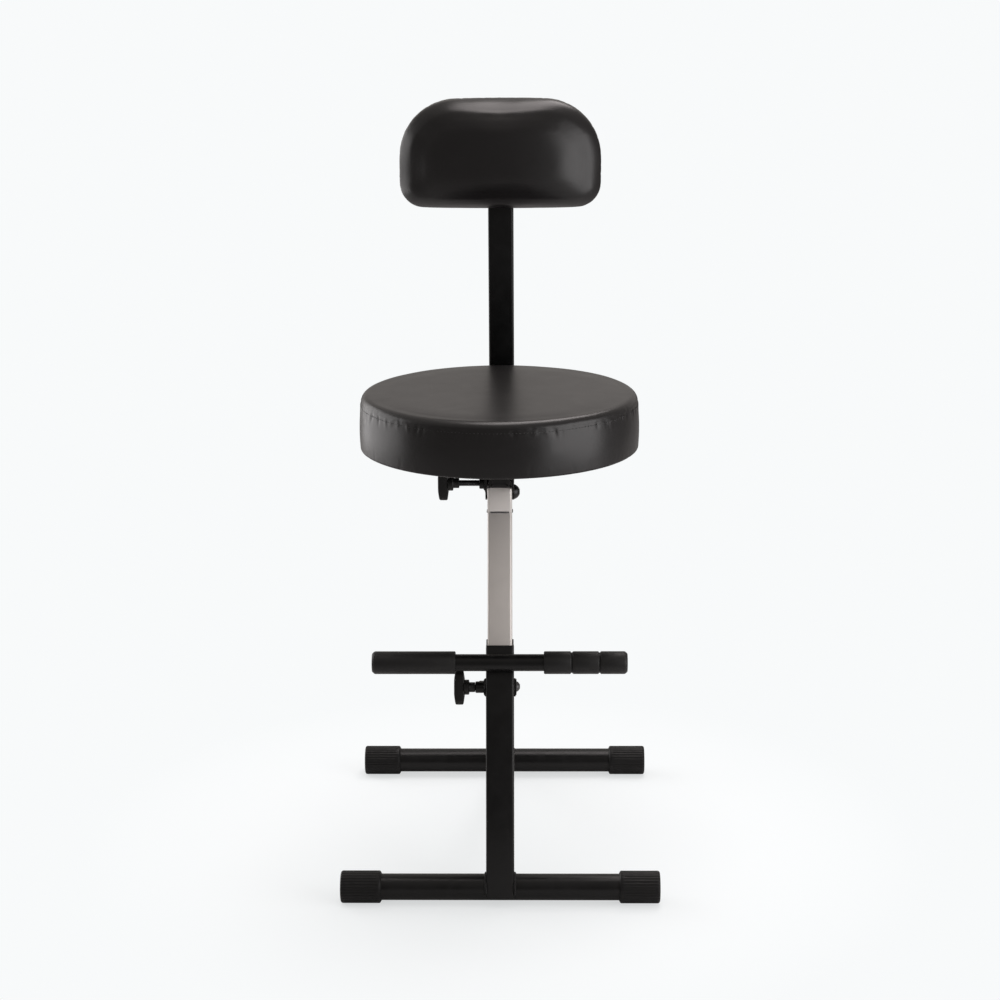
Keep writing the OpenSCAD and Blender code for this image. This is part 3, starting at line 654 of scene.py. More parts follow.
    def piece(self, name: str, finish: Finish, body: str, node: str | None = None,
              smooth: float = 35) -> bpy.types.Object:
        """Ends the form as an object that replaces the CAD node of its name, if there is one.

        Args:
            name: The piece's name.
            finish: What it is dressed in.
            body: The body that it rides on.
            node: The CAD node that it replaces, where that has another name.
            smooth: Edges that turn by more than this many degrees stay sharp.

        Returns:
            The piece.
        """
        mesh = self.mesh(name)
        mesh.shade_smooth()
        mesh.set_sharp_from_angle(angle=math.radians(smooth))
        piece = link(name, mesh)
        mesh.materials.append(finish.material())
        replaced = node or name
        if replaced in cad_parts:
            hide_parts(replaced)
        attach(piece, body)
        LOG.info("%s: %d faces, on %s", name, len(mesh.polygons), body)
        return piece


def link(name: str, data: bpy.types.ID) -> bpy.types.Object:
    """Puts some data into the scene.

    Args:
        name: The new object's name.
        data: Its mesh, lamp or camera.

    Returns:
        The object.
    """
    made = bpy.data.objects.new(name, data)
    bpy.context.scene.collection.objects.link(made)
    return made


def dress(finish: Finish, *nodes: str) -> None:
    """Gives CAD nodes that stay their finish.

    Args:
        finish: What they are dressed in.
        nodes: Their names.
    """
    for node in nodes:
        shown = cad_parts[node]
        if not shown.material_slots:
            shown.data.materials.append(None)
        for slot in shown.material_slots:
            slot.material = finish.material()
        LOG.info("%s keeps its own shape, in %s", node, finish.name)


def moved(*at: float) -> Matrix:
    """A move by x, y and z."""
    return Matrix.Translation(at)


def turned(axis: str, degrees: float, at: Triple = (0, 0, 0)) -> Matrix:
    """A turn about an axis, then a move."""
    return moved(*at) @ Matrix.Rotation(math.radians(degrees), 4, axis)


def radially(co: Vector, times: float) -> Vector:
    """A point drawn in or out from the z axis by this factor."""
    return Vector((co.x * times, co.y * times, co.z))


def hexagon_reach(co: Vector, flats: float) -> float:
    """How far a hexagon round the z axis reaches in a point's direction."""
    return flats / 2 / math.cos(math.atan2(co.y, co.x) % (math.pi / 3) - math.pi / 6)


def low(node: str) -> Vector:
    """A CAD node's lowest corner in millimetres."""
    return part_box(node)[0] / MM


def high(node: str) -> Vector:
    """A CAD node's highest corner in millimetres."""
    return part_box(node)[1] / MM


def middle(node: str) -> Vector:
    """The middle of a CAD node's box in millimetres."""
    return (low(node) + high(node)) / 2


def span(node: str) -> Vector:
    """The size of a CAD node's box in millimetres."""
    return high(node) - low(node)


def square_tube(width: float, wall: float, start: float, end: float, corner: float = 3) -> Form:
    """An open square tube along z.

    Args:
        width: Across its flats.
        wall: Its wall.
        start: Where it begins.
        end: Where it ends.
        corner: Radius of its long edges.

    Returns:
        The tube.
    """
    form = Form()
    form.square_bar(width, corner, start, end)
    form.open_ends()
    form.wall(wall)
    return form


def round_tube(radius: float, wall: float, half: float, steps: int = 72) -> Form:
    """An open round tube along x, centred on the origin.

    Args:
        radius: Its outer radius.
        wall: Its wall.
        half: Half its length.
        steps: Facets round it.

    Returns:
        The tube.
    """
    form = Form()
    form.lathe([(radius - wall, -half), (radius - 0.4, -half), (radius, -half + 0.4),
                (radius, half - 0.4), (radius - 0.4, half), (radius - wall, half)], steps, loop=True)
    return form.place(turned("Y", 90))


def weld_ring(radius: float, bead: float, sweep: float = 360, start: float = 0, ripple: float = 1.4) -> Form:
    """A rippled weld bead round the z axis.

    Args:
        radius: Radius of its path.
        bead: Radius of the bead.
        sweep: Degrees that it runs through.
        start: Where it begins, in degrees from +x.
        ripple: Distance between ripples.

    Returns:
        The bead.
    """
    form = Form()
    ring = bmesh.ops.create_circle(form.bm, cap_ends=sweep < 360, segments=10, radius=bead)["verts"]
    bmesh.ops.transform(form.bm, matrix=turned("X", 90, (radius, 0, 0)), verts=ring)
    steps = max(24, int(radius * math.radians(sweep) / (ripple / 4)))
    bmesh.ops.spin(form.bm, geom=[*form.bm.verts, *form.bm.edges, *form.bm.faces], cent=(0, 0, 0),
                   axis=(0, 0, 1), angle=math.radians(sweep), steps=steps, use_merge=sweep >= 360,
                   use_duplicate=False)
    bmesh.ops.remove_doubles(form.bm, verts=form.bm.verts[:], dist=1e-4)
    form.outward()

    def wave(co: Vector) -> Vector:
        """Swells the bead at each ripple.

        Args:
            co: A point.

        Returns:
            Where it goes.
        """
        angle = math.atan2(co.y, co.x)
        centre = Vector((radius * math.cos(angle), radius * math.sin(angle), 0))
        grow = 1 + RIPPLE * math.sin(angle * radius / ripple * math.tau)
        return centre + (co - centre) * grow

    form.push(wave)
    return form.place(turned("Z", start))


def weld_line(start: Triple, end: Triple, bead: float, ripple: float = 1.4) -> Form:
    """A straight rippled weld bead.

    Args:
        start: Where it begins.
        end: Where it ends.
        bead: Radius of the bead.
        ripple: Distance between ripples.

    Returns:
        The bead.
    """
    run = Vector(end) - Vector(start)
    form = Form()
    count = max(8, int(run.length / (ripple / 4)))
    thick = [bead * (1 + RIPPLE * math.sin(i * math.pi / 2)) * min(1, 0.5 + min(i, count - i) / 4)
             for i in range(count + 1)]
    profile = [(r, run.length * i / count) for i, r in enumerate(thick)]
    form.lathe([(0, 0), *profile, (0, run.length)], 10)
    return form.place(moved(*start) @ run.to_track_quat("Z", "Y").to_matrix().to_4x4())


def dome(radius: float, height: float, socket: float = 0.0) -> Form:
    """A low domed bolt head, its flat underside at z = 0, with a hexagon socket.

    Args:
        radius: Radius of the head.
        height: Height of the dome.
        socket: Across the flats of its socket, or 0 for none.

    Returns:
        The head.
    """
    ball = (radius * radius + height * height) / (2 * height)
    top = math.asin(min(1.0, socket * 0.62 / ball)) if socket else 0.0
    edge = math.asin(radius / ball)
    arc = [(ball * math.sin(a), height - ball + ball * math.cos(a))
           for a in (edge + (top - edge) * i / 12 for i in range(13))]
    arc[0] = (radius - 0.15, 0.0)
    arc.insert(1, (radius, 0.35))
    profile = [(0.0, 0.0), *arc]
    if socket:
        profile += [(socket * 0.56, height - 0.3), (socket * 0.5, height * 0.45), (0.0, height * 0.35)]
    form = Form()
    form.lathe(profile, 48)

    def hexagon(co: Vector) -> Vector:
        """Gives the socket its flat sides.

        Args:
            co: A point.

        Returns:
            Where it goes.
        """
        out = math.hypot(co.x, co.y)
        if out < 0.2 or out > socket * 0.57 or co.z < height * 0.3:
            return co
        return radially(co, hexagon_reach(co, socket) / out)

    if socket:
        form.push(hexagon)
    return form


def threaded_rod(radius: float, length: float, pitch: float = 1.25, depth: float = 0.55) -> Form:
    """A threaded rod from z = 0 up, with flat ends.

    Args:
        radius: Radius over the thread.
        length: Its length.
        pitch: Pitch of the thread.
        depth: Depth of the thread.

    Returns:
        The rod.
    """
    form = Form()
    steps, turns = 20, int(length / pitch) + 3
    profile = [(radius - depth, 0), (radius, 0.4 * pitch), (radius, 0.6 * pitch), (radius - depth, pitch)]
    verts = [form.bm.verts.new((r, 0, z)) for r, z in profile]
    edges = [form.bm.edges.new(p) for p in zip(verts, verts[1:])]
    bmesh.ops.spin(form.bm, geom=verts + edges, cent=(0, 0, 0), axis=(0, 0, 1), dvec=(0, 0, pitch / steps),
                   angle=math.tau * turns, steps=steps * turns, use_duplicate=False)
    bmesh.ops.remove_doubles(form.bm, verts=form.bm.verts[:], dist=1e-3)
    form.place(moved(0, 0, -1.5 * pitch))
    form.cut((0, 0, 0), (0, 0, -1))
    form.cut((0, 0, length), (0, 0, 1), fill=True)
    form.outward()
    return form


def hex_nut(flats: float, height: float) -> Form:
    """A chamfered hexagon nut from z = 0 up.

    Args:
        flats: Across its flats.
        height: Its height.

    Returns:
        The nut.
    """
    form = Form()
    reach = flats / math.sqrt(3)
    form.lathe([(0, 0), (reach * 0.93, 0), (reach, 0.9), (reach, height - 0.9), (reach * 0.93, height),
                (0, height)], 48)

    def flat_sides(co: Vector) -> Vector:
        """Draws the round blank in to its flats.

        Args:
            co: A point.

        Returns:
            Where it goes.
        """
        out = math.hypot(co.x, co.y)
        return co if out < 0.1 else radially(co, min(1.0, hexagon_reach(co, flats) / out))

    form.push(flat_sides)
    return form


def end_plug(width: float, head: float, crown: float = 0.5) -> Form:
    """The head of a square plastic plug, from z = 0 up, slightly crowned.

    Args:
        width: Across its flats.
        head: Height of the head.
        crown: Rise of its middle.

    Returns:
        The plug's head.
    """
    form = Form()
    form.square_bar(width, 3, 0, head - crown, 4)
    form.bm.normal_update()
    for inset, rise in ((1.1, 0.8), (width * 0.2, 0.2)):
        top = [f for f in form.bm.faces if f.normal.z > 0.99]
        bmesh.ops.inset_region(form.bm, faces=top, thickness=inset, depth=crown * rise)
    form.soften(0.3, 2, 25)
    return form


# ------------------------------------------------------------------ steel sub-assemblies


@dataclass
class Layout:
    """Axes that the sub-assemblies share, read from the CAD nodes' boxes."""

    head_h: float = 34.0
    key_h: float = 3.0
    seat_y: float = field(default_factory=lambda: middle("seat_cushion").y)
    base_z: float = field(default_factory=lambda: middle("front_base_tube").z)
    front_y: float = field(default_factory=lambda: middle("front_base_tube").y)

    def __post_init__(self) -> None:
        """Works out the lean and the bend."""
        self.bend_z = low("arm_rest").z + self.key_h - self.head_h
        self.lean = math.degrees(math.atan2(self.seat_y - self.front_y, self.bend_z - self.base_z))

    def on_leg(self, at: Triple = (0, 0, 0)) -> Matrix:
        """The leaning leg's frame: z up the leg from the base bar's axis, y to its back wall."""
        return turned("X", -self.lean, (0, self.front_y, self.base_z)) @ moved(*at)

    def on_seat_axis(self, z: float = 0.0) -> Matrix:
        """A frame on the seat's upright axis, at this height."""
        return moved(0, self.seat_y, z)

    def up_leg(self, node: str) -> Vector:
        """The middle of a node in the leg's frame."""
        return self.on_leg().inverted() @ middle(node)


@dataclass
class BaseBar:
    """A base bar: a steel tube with a ribbed plastic cap on each end."""

    name: str
    body: str
    radius: float = 16.5
    wall: float = 2.0
    cap_r: float = 20.2
    cap_len: float = 51.0
    collar: float = 2.4
    groove_depth: float = 0.62

    def build(self) -> None:
        """Makes the tube and both caps."""
        tube = f"{self.name}_base_tube"
        self.axis = middle(tube)
        form = round_tube(self.radius, self.wall, span(tube).x / 2, 96)
        form.place(moved(*self.axis)).piece(tube, GLOSS_BLACK, self.body)
        for side in Side:
            self.cap(side)

    def cap(self, side: Side) -> None:
        """Makes one cap: a tapered collar, grooves along it, and a flat sole.

        Args:
            side: The end that it is on.
        """
        form, inner, r, end = Form(), self.radius + 0.1, self.cap_r, self.cap_len
        body = [(r, z) for z in (self.collar, 6, 7.5, 9, 20, 32, 44, end - 3.4)]
        corner = [(r - 3 + 3 * math.cos(a), end - 3 + 3 * math.sin(a))
                  for a in (math.radians(15 * i) for i in range(1, 7))]
        seat = end - CAP_END
        form.lathe([(0, seat), (inner, seat), (inner, 0.3), (inner + 0.2, 0), (inner + 0.8, 0),
                    (inner + 1.1, 0.35), (r - 0.8, self.collar - 1.2), (r - 0.2, self.collar - 0.4),
                    *body, *corner, (r - 4.2, end), (r - 4.8, end - 0.5), (r - 5.4, end - 0.6),
                    (4, end - 0.6), (0, end - 0.6)], 180)

        def groove(co: Vector) -> Vector:
            """Sinks three rows of points in every six, which makes the grooves.

            Args:
                co: A point.

            Returns:
                Where it goes.
            """
            out = math.hypot(co.x, co.y)
            if out < r - 3.5 or co.z < self.collar + 1:
                return co
            step = round(math.atan2(co.y, co.x) / math.radians(2)) % 6
            depth = self.groove_depth * (0.45, 1.0, 0.45, 0, 0, 0)[step]
            depth *= min(1.0, (co.z - self.collar - 1) / 2.5) * min(1.0, (out - r + 3.5) / 2)
            return radially(co, 1 - depth / out)

        form.push(groove)
        form.lay(side, span(f"{self.name}_base_tube").x / 2 - seat).place(moved(*self.axis))
        form.cut((0, 0, 0), (0, 0, -1), fill=True)
        form.piece(f"{self.name}_cap_{side.name.lower()}", CAP_PLASTIC, self.body, smooth=50)


@dataclass
class FrontFrame:
    """The front leg with its guide, boss, pivot plates and footrest."""

    layout: Layout
    leg_w: float = 35.0
    leg_wall: float = 1.2
    leg_len: float = 301.0
    leg_tail: float = 12.0
    boss_len: float = 13.5
    plate_t: float = 3.0
    plate_h: float = 20.0
    plate_start: float = 9.3
    foot_r: float = 10.65
    foot_wall: float = 2.0
    grip_r: float = 14.2
    grip_len: float = 104.0
    body: str = "front_frame"

    def build(self) -> None:
        """Makes every piece of the front frame."""
        BaseBar("front", self.body).build()
        self.leg()
        self.guide()
        self.boss()
        self.pivot()
        self.footrest()

    def leg(self) -> None:
        """Makes the square leg and the welds round the base bar."""
        form = square_tube(self.leg_w, self.leg_wall, -self.leg_tail, self.leg_len)
        form.place(self.layout.on_leg()).piece("front_leg", GLOSS_BLACK, self.body)
        welds = Form()
        for x in (-1, 1):
            at = turned("Y", 90, (x * (self.leg_w / 2 + 0.5), 0, 0))
            welds.join(weld_ring(BAR_WELD_R, 1.7, 236, 62).place(at))
        welds.place(self.layout.on_leg()).piece("front_leg_welds", GLOSS_BLACK, self.body)

    def guide(self) -> None:
        """Makes the plastic guide: a rim, a plug inside the leg, and a lip at each side."""
        form = square_tube(self.leg_w - 0.4, 1.6, 0, 2)
        form.join(square_tube(32.5, 0.5, -28, 0.2, 2.4))
        for x in (-1, 1):
            lip = Form()
            lip.block((-0.8, -10, 0), (0.8, 10, 9))
            lip.round_edges(lip.along(0, lambda m: m.z > 8), 2.5, 4)
            lip.soften(0.3, 2)
            form.join(lip.place(moved(x * 16.2, 0, 0)))
        form.place(self.layout.on_leg((0, 0, self.leg_len))).piece("leg_guide", BLACK_NYLON, self.body)

    def boss(self) -> None:
        """Makes the clamp screw's boss and the weld round its foot."""
        at = (-self.leg_w / 2, 0, self.layout.up_leg("lock_boss").z)
        form = clamp_boss(self.boss_len, 3.8).place(self.layout.on_leg(at) @ turned("Y", -90))
        form.piece("lock_boss", GLOSS_BLACK, self.body)

    def pivot(self) -> None:
        """Makes the pivot plates, their welds, and the bolt and nut."""
        at = self.layout.up_leg("pivot_sleeve")
        half = self.plate_h / 2
        start, reach = self.plate_start, at.y + half
        for side in Side:
            form = Form()
            x = self.leg_w / 2 * side.value
            near, far = sorted((x, x + self.plate_t * side.value))
            form.block((near, start, at.z - half), (far, reach, at.z + half))
            form.round_edges(form.along(0, lambda m: m.y > reach - 1), half - 0.05, 10)
            form.round_edges(form.along(0, lambda m: m.y < start + 0.1), 2.5, 4)
            form.soften(0.5, 2, 50)
            x += 0.7 * side.value
            for z in (at.z - half - 0.2, at.z + half + 0.2):
                form.join(weld_line((x, start + 0.7, z), (x, start + 7.1, z), 1.3))
            node = f"pivot_plate_{side.name.lower()}"
            form.place(self.layout.on_leg()).piece(node, GLOSS_BLACK, self.body)
        outer, nut_h = self.leg_w / 2 + self.plate_t, 6.5
        bolt = dome(6.75, 4.6, 5).join(shank(4, -2 * outer - nut_h - 2, 0))
        for name, form, x in (("pivot_bolt", bolt, outer), ("pivot_nut", hex_nut(13, nut_h), -outer)):
            form.place(self.layout.on_leg((x, at.y, at.z)) @ turned("Y", math.copysign(90, x)))
            form.piece(name, DULL_ZINC_AND_SEAM_SHADE, self.body)

    def footrest(self) -> None:
        """Makes the footrest's tube, its welds to the leg, and both grips."""
        at = middle("footrest_tube")
        tube = round_tube(self.foot_r, self.foot_wall, span("footrest_tube").x / 2)
        tube.place(moved(0, at.y, at.z)).piece("footrest_tube", GLOSS_BLACK, self.body)
        local = self.layout.up_leg("footrest_tube")
        welds, face, half = Form(), -self.leg_w / 2 - 0.5, 14.5
        for z in (local.z - 7.4, local.z + 7.4):
            welds.join(weld_line((-half, face, z), (half, face, z), 1.8))
        welds.place(self.layout.on_leg()).piece("footrest_welds", GLOSS_BLACK, self.body)
        for side in Side:
            self.grip(side)

    def grip(self, side: Side) -> None:
        """Makes a grip: plain on the left, with two grooves on the right.

        Args:
            side: The end that it is on.
        """
        node = f"footrest_grip_{side.name.lower()}"
        r, length, inner = self.grip_r, self.grip_len, self.foot_r + 0.08
        seat = length - CAP_END
        profile = [(0, seat), (inner, seat), (inner, 0.4), (inner + 0.5, 0), (r - 1.3, 0), (r - 0.4, 0.35),
                   (r, 1.4)]
        if side is Side.RIGHT:
            for centre in (length / 3, length * 2 / 3):
                profile += [(r, centre - 2.2), (r - 0.3, centre - 1.5), (r - 1.6, centre - 0.35),
                            (r - 1.6, centre + 0.35), (r - 0.3, centre + 1.5), (r, centre + 2.2)]
        profile += [(r, length - 4), (r - 0.5, length - 2.6), (r - 2.4, length - 0.5), (r - 3.2, length),
                    (5, length), (4.2, length - 0.6), (0, length - 0.6)]
        form = Form()
        form.lathe(profile, 72)
        at = middle(node)
        form.lay(side, span("footrest_tube").x / 2 - seat).place(moved(0, at.y, at.z))
        form.piece(node, GRIP, self.body, smooth=45)


def shank(radius: float, start: float, end: float) -> Form:
    """A plain shank between two heights, chamfered at its start.

    Args:
        radius: Its radius.
        start: Where it starts.
        end: Where it ends.

    Returns:
        The shank.
    """
    form = Form()
    form.lathe([(0, start), (radius - 0.8, start), (radius, start + 0.8), (radius, end), (0, end)], 32)
    return form


def clamp_boss(length: float, fillet: float, radius: float = 7.3, bore: float = 4.25) -> Form:
    """A tapped boss rising along z from the wall that it is welded to.

    Args:
        length: Its height.
        fillet: Size of the weld at its foot.
        radius: Its outer radius.
        bore: Radius of its hole.

    Returns:
        The boss and its weld.
    """
    form = Form()
    form.lathe([(bore, 0), (radius, 0), (radius, length - 0.8), (radius - 0.8, length), (bore + 0.7, length),
                (bore, length - 0.7)], 64, loop=True)
    return form.join(weld_ring(radius + fillet * 0.25, fillet * 0.75))


@dataclass
class RearFrame:
    """The rear leg with its base bar, plastic stop and pivot sleeve."""

    layout: Layout
    width: float = 25.0
    wall: float = 1.5
    nose_r: float = 13.7
    body: str = "rear_frame"

    def build(self) -> None:
        """Makes the leg and its welds, and dresses the stop and the sleeve."""
        BaseBar("rear", self.body).build()
        pivot, foot = middle("pivot_sleeve"), middle("rear_base_tube")
        run = Vector((0, foot.y - pivot.y, foot.z - pivot.z))
        place = turned("X", math.degrees(math.atan2(run.y, -run.z)), (0, pivot.y, pivot.z))
        form = Form()
        form.square_bar(self.width, 3, -run.length, self.nose_r + 1)
        form.open_ends()
        for step in range(-6, 7):
            tilt = math.radians(step * 14)
            out = Vector((0, math.sin(tilt), math.cos(tilt)))
            form.cut(out * self.nose_r, out)
        form.wall(self.wall)
        form.place(place).piece("rear_leg", GLOSS_BLACK, self.body)
        welds, half, z = Form(), self.width / 2, 10.8 - run.length
        for side in (-1, 1):
            at = turned("Y", 90, (side * (half + 0.4), 0, -run.length))
            welds.join(weld_ring(BAR_WELD_R, 1.6, 120, 120).place(at))
            y = side * (half + 0.5)
            welds.join(weld_line((1.5 - half, y, z), (half - 1.5, y, z), 1.6))
        welds.place(place).piece("rear_leg_welds", GLOSS_BLACK, self.body)
        dress(BRIGHT_ZINC, "pivot_sleeve")
        dress(BLACK_NYLON, "rear_leg_stop")


@dataclass
class ClampKnob:
    """A T-shaped knob and the screw that it turns."""

    name: str
    matrix: Matrix
    tip: float
    bar_len: float = 44.0
    bar_t: float = 13.5
    tip_t: float = 10.0
    bar_w: float = 13.0
    shoulder_r: float = 9.5
    shoulder_len: float = 5.5
    neck_r: float = 6.3
    neck_len: float = 7.5
    bore_r: float = 4.2
    screw_r: float = 3.92

    def build(self) -> None:
        """Makes the knob and its screw. The frame's z runs out through the handle."""
        knob, screw = f"{self.name}_knob", f"{self.name}_screw"
        self.handle().place(self.matrix).piece(knob, BLACK_NYLON, knob)
        rod = threaded_rod(self.screw_r, self.tip + 12.5).place(self.matrix @ moved(0, 0, -self.tip))
        rod.piece(screw, BLACK_OXIDE, screw, smooth=50)

    def handle(self) -> Form:
        """Models the handle with its shoulder and neck.

        Returns:
            The knob, with its mouth at z = 0.
        """
        base, half_w = self.neck_len + self.shoulder_len, self.bar_w / 2
        bar = Form()
        bar.block((-self.bar_len / 2, -half_w, base), (self.bar_len / 2, half_w, base + self.bar_t))
        bar.round_edges(bar.along(2), half_w - 0.1, 8)
        bar.soften(2.0, 4, 50)
        mid, waist = base + self.bar_t / 2, self.shoulder_r
        for step in range(-4, 5):
            bar.cut((step * waist / 2.5, 0, 0), (1, 0, 0), clear=False)

        def taper(co: Vector) -> Vector:
            """Thins the bar towards its tips.

            Args:
                co: A point.

            Returns:
                Where it goes.
            """
            share = max(0.0, (abs(co.x) - waist) / (self.bar_len / 2 - waist))
            scale = 1 + (self.tip_t / self.bar_t - 1) * share
            return Vector((co.x, co.y * (1 - 0.12 * share), mid + (co.z - mid) * scale))

        bar.push(taper)
        stem = Form()
        bore, neck, length, wide = self.bore_r, self.neck_r, self.neck_len, self.shoulder_r
        stem.lathe([(0, base - 0.2), (bore, base - 0.2), (bore, 0.5), (bore + 0.5, 0), (neck - 0.6, 0),
                    (neck, 0.6), (neck, length - 0.9), (neck + 0.3, length - 0.3), (neck + 0.9, length),
                    (wide - 0.8, length), (wide, length + 0.8), (wide, base - 0.5), (wide - 0.6, base + 0.6),
                    (half_w - 0.3, base + 1.4), (0, base + 1.4)], 48)
        return bar.join(stem)


@dataclass
class PostAndHead:
    """The leaning post, the upright head with its fork, and the bracket that holds the arm."""

    layout: Layout
    width: float = 30.8
    wall: float = 1.4
    foot_s: float = 170.0
    fork_h: float = 61.0
    bracket_in: float = 15.5
    bracket_t: float = 2.5
    tongue_w: float = 20.0
    front: float = 34.0
    back: float = 40.0
    body: str = "seat_post"

    def build(self) -> None:
        """Makes the post, the head, the bracket, its boss and the cross bolt."""
        self.post()
        self.head()
        self.bracket()
        self.fittings()

    def post(self) -> None:
        """Makes the leaning post, cut at the bend."""
        lay = self.layout
        reach = math.hypot(lay.seat_y - lay.front_y, lay.bend_z - lay.base_z)
        form = Form()
        form.square_bar(self.width, 3, self.foot_s, reach + self.width)
        form.open_ends()
        tilt = math.radians(lay.lean / 2)
        form.cut((0, 0, reach - 0.15), (0, math.sin(tilt), math.cos(tilt)))
        form.wall(self.wall)
        form.place(lay.on_leg()).piece("seat_post", SATIN_POST, self.body)
        dress(BLACK_NYLON, "post_glide")

    def head(self) -> None:
        """Makes the upright head, whose side walls rise past the arm as a fork."""
        form = Form()
        half, top = self.width / 2, self.layout.head_h
        form.square_bar(self.width, 3, -self.width, self.fork_h)
        form.open_ends()
        tilt = math.radians(self.layout.lean / 2)
        form.cut((0, 0, 0.15), (0, -math.sin(tilt), -math.cos(tilt)))
        form.cut((0, 0, top), (0, 0, 1), clear=False)
        for x in (-1, 1):
            form.cut((x * (half - self.wall), 0, 0), (x, 0, 0), clear=False)
        form.drop_faces(lambda f: f.calc_center_median().z > top
                        and abs(f.calc_center_median().x) < half - self.wall)
        form.wall(self.wall)
        bend = self.layout.on_seat_axis(self.layout.bend_z)
        # The head wears the lighter copy of the post's finish: painted light.
        form.place(bend).piece("post_head", SATIN_HEAD_PAINTED_LIGHT, self.body)
        slope, run, face, bead, ripple = math.tan(tilt), half - 3.5, half + 0.1, 0.9, 1.0
        weld = Form()
        for y, drop in ((-face, half * slope), (face, -half * slope)):
            weld.join(weld_line((-run, y, drop), (run, y, drop), bead, ripple))
        for x in (-face, face):
            weld.join(weld_line((x, -run, run * slope), (x, run, -run * slope), bead, ripple))
        # The weld bead is real; its dark finish is painted shade along the valley where the head meets the
        # post.
        weld.place(bend).piece("post_head_weld", DULL_ZINC_AND_SEAM_SHADE, self.body)
        dress(BLACK_NYLON, "arm_rest")

    def bracket(self) -> None:
        """Makes the folded channel under the seat with a tongue at each side."""
        outer = self.bracket_in + self.bracket_t
        top, skirt, foot = high("seat_bracket").z, low("arm_rest").z + 1, low("seat_bracket").z
        form = Form()
        form.block((-outer, -self.front, skirt), (outer, self.back, top))
        form.round_edges(form.along(1, lambda m: m.z > skirt + 1), 3.5, 5)
        form.drop_faces(lambda f: abs(f.normal.y) > 0.99 or f.normal.z < -0.99)
        half = self.tongue_w / 2
        for y in (-half, half):
            form.cut((0, y, 0), (0, 1, 0), clear=False)
        hem = form.along(1, lambda m: m.z < skirt + 0.1 and abs(m.y) < half)
        form.shift(bmesh.ops.extrude_edge_only(form.bm, edges=hem)["geom"], (0, 0, foot - skirt))
        form.round_corners(lambda co: co.z < foot + 0.1, 9.6, 8)
        form.round_corners(lambda co: abs(co.z - skirt) < 0.1 and abs(co.y) > self.tongue_w, 5, 5)
        form.turn_faces((0, 0, (skirt + top) / 2))
        form.wall(self.bracket_t, 0.5)
        form.place(self.layout.on_seat_axis()).piece("seat_bracket", GLOSS_BLACK, self.body)

    def fittings(self) -> None:
        """Makes the arm screw's boss, and the cross bolt."""
        at = middle("arm_boss")
        form = clamp_boss(span("arm_boss").x, 2.0).place(turned("Y", -90, (high("arm_boss").x, at.y, at.z)))
        form.piece("arm_boss", GLOSS_BLACK, self.body)
        at, outer = middle("cross_bolt"), self.bracket_in + self.bracket_t
        bolt = dome(9.5, 7.4, 6).join(shank(4, -2 * outer, 0.5)).place(turned("Y", 90, (outer, at.y, at.z)))
        bolt.piece("cross_bolt", BLACK_OXIDE, self.body)


@dataclass
class BackrestArm:
    """The arm and its riser, mitred and welded at the elbow."""

    layout: Layout
    width: float = 27.0
    wall: float = 1.5
    body: str = "backrest_arm"

    def build(self) -> None:
        """Makes both tubes and the plugs."""
        start, z = low("arm_tube").y, middle("arm_tube").z
        riser = middle("riser_tube").y
        half = math.sqrt(0.5)
        for name, low_end, high_end, place, mitre in (
            ("arm_tube", 0, riser - start + self.width, turned("X", -90, (0, start, z)), half),
            ("riser_tube", z - self.width, high("riser_tube").z, moved(0, riser, 0), -half),
        ):
            tube = Form()
            tube.square_bar(self.width, 3, low_end, high_end)
            tube.open_ends()
            tube.place(place).cut((0, riser, z), (0, mitre, mitre))
            tube.wall(self.wall)
            tube.piece(name, GLOSS_BLACK, self.body)
        plug = end_plug(self.width - 0.4, 2, 0.12).place(turned("X", 90, (0, start, z)))
        plug.piece("arm_plug", BLACK_NYLON, self.body)
        dress(BLACK_NYLON, "riser_plug")


# ------------------------------------------------------------------ soft goods


def smooth_step(share: float) -> float:
    """A soft ramp from 0 to 1."""
    share = max(0.0, min(1.0, share))
    return share * share * (3 - 2 * share)


def voxel_mesh(mesh: bpy.types.Mesh, size: float) -> bpy.types.Mesh:
    """An even remesh of a closed mesh.

    Args:
        mesh: The mesh, in metres.
        size: Size of its cells in millimetres.

    Returns:
        A new mesh.
    """
    source = link("remeshing", mesh)
    remesh = source.modifiers.new("voxels", "REMESH")
    remesh.mode, remesh.voxel_size = "VOXEL", size * MM
    graph = bpy.context.evaluated_depsgraph_get()
    made = bpy.data.meshes.new_from_object(source.evaluated_get(graph))
    bpy.data.objects.remove(source)
    return made


def point_tree(points: np.ndarray) -> KDTree:
    """A search tree of points.

    Args:
        points: The points, one to a row.

    Returns:
        The tree.
    """
    tree = KDTree(len(points))
    for index, co in enumerate(points):
        tree.insert(co, index)
    tree.balance()
    return tree


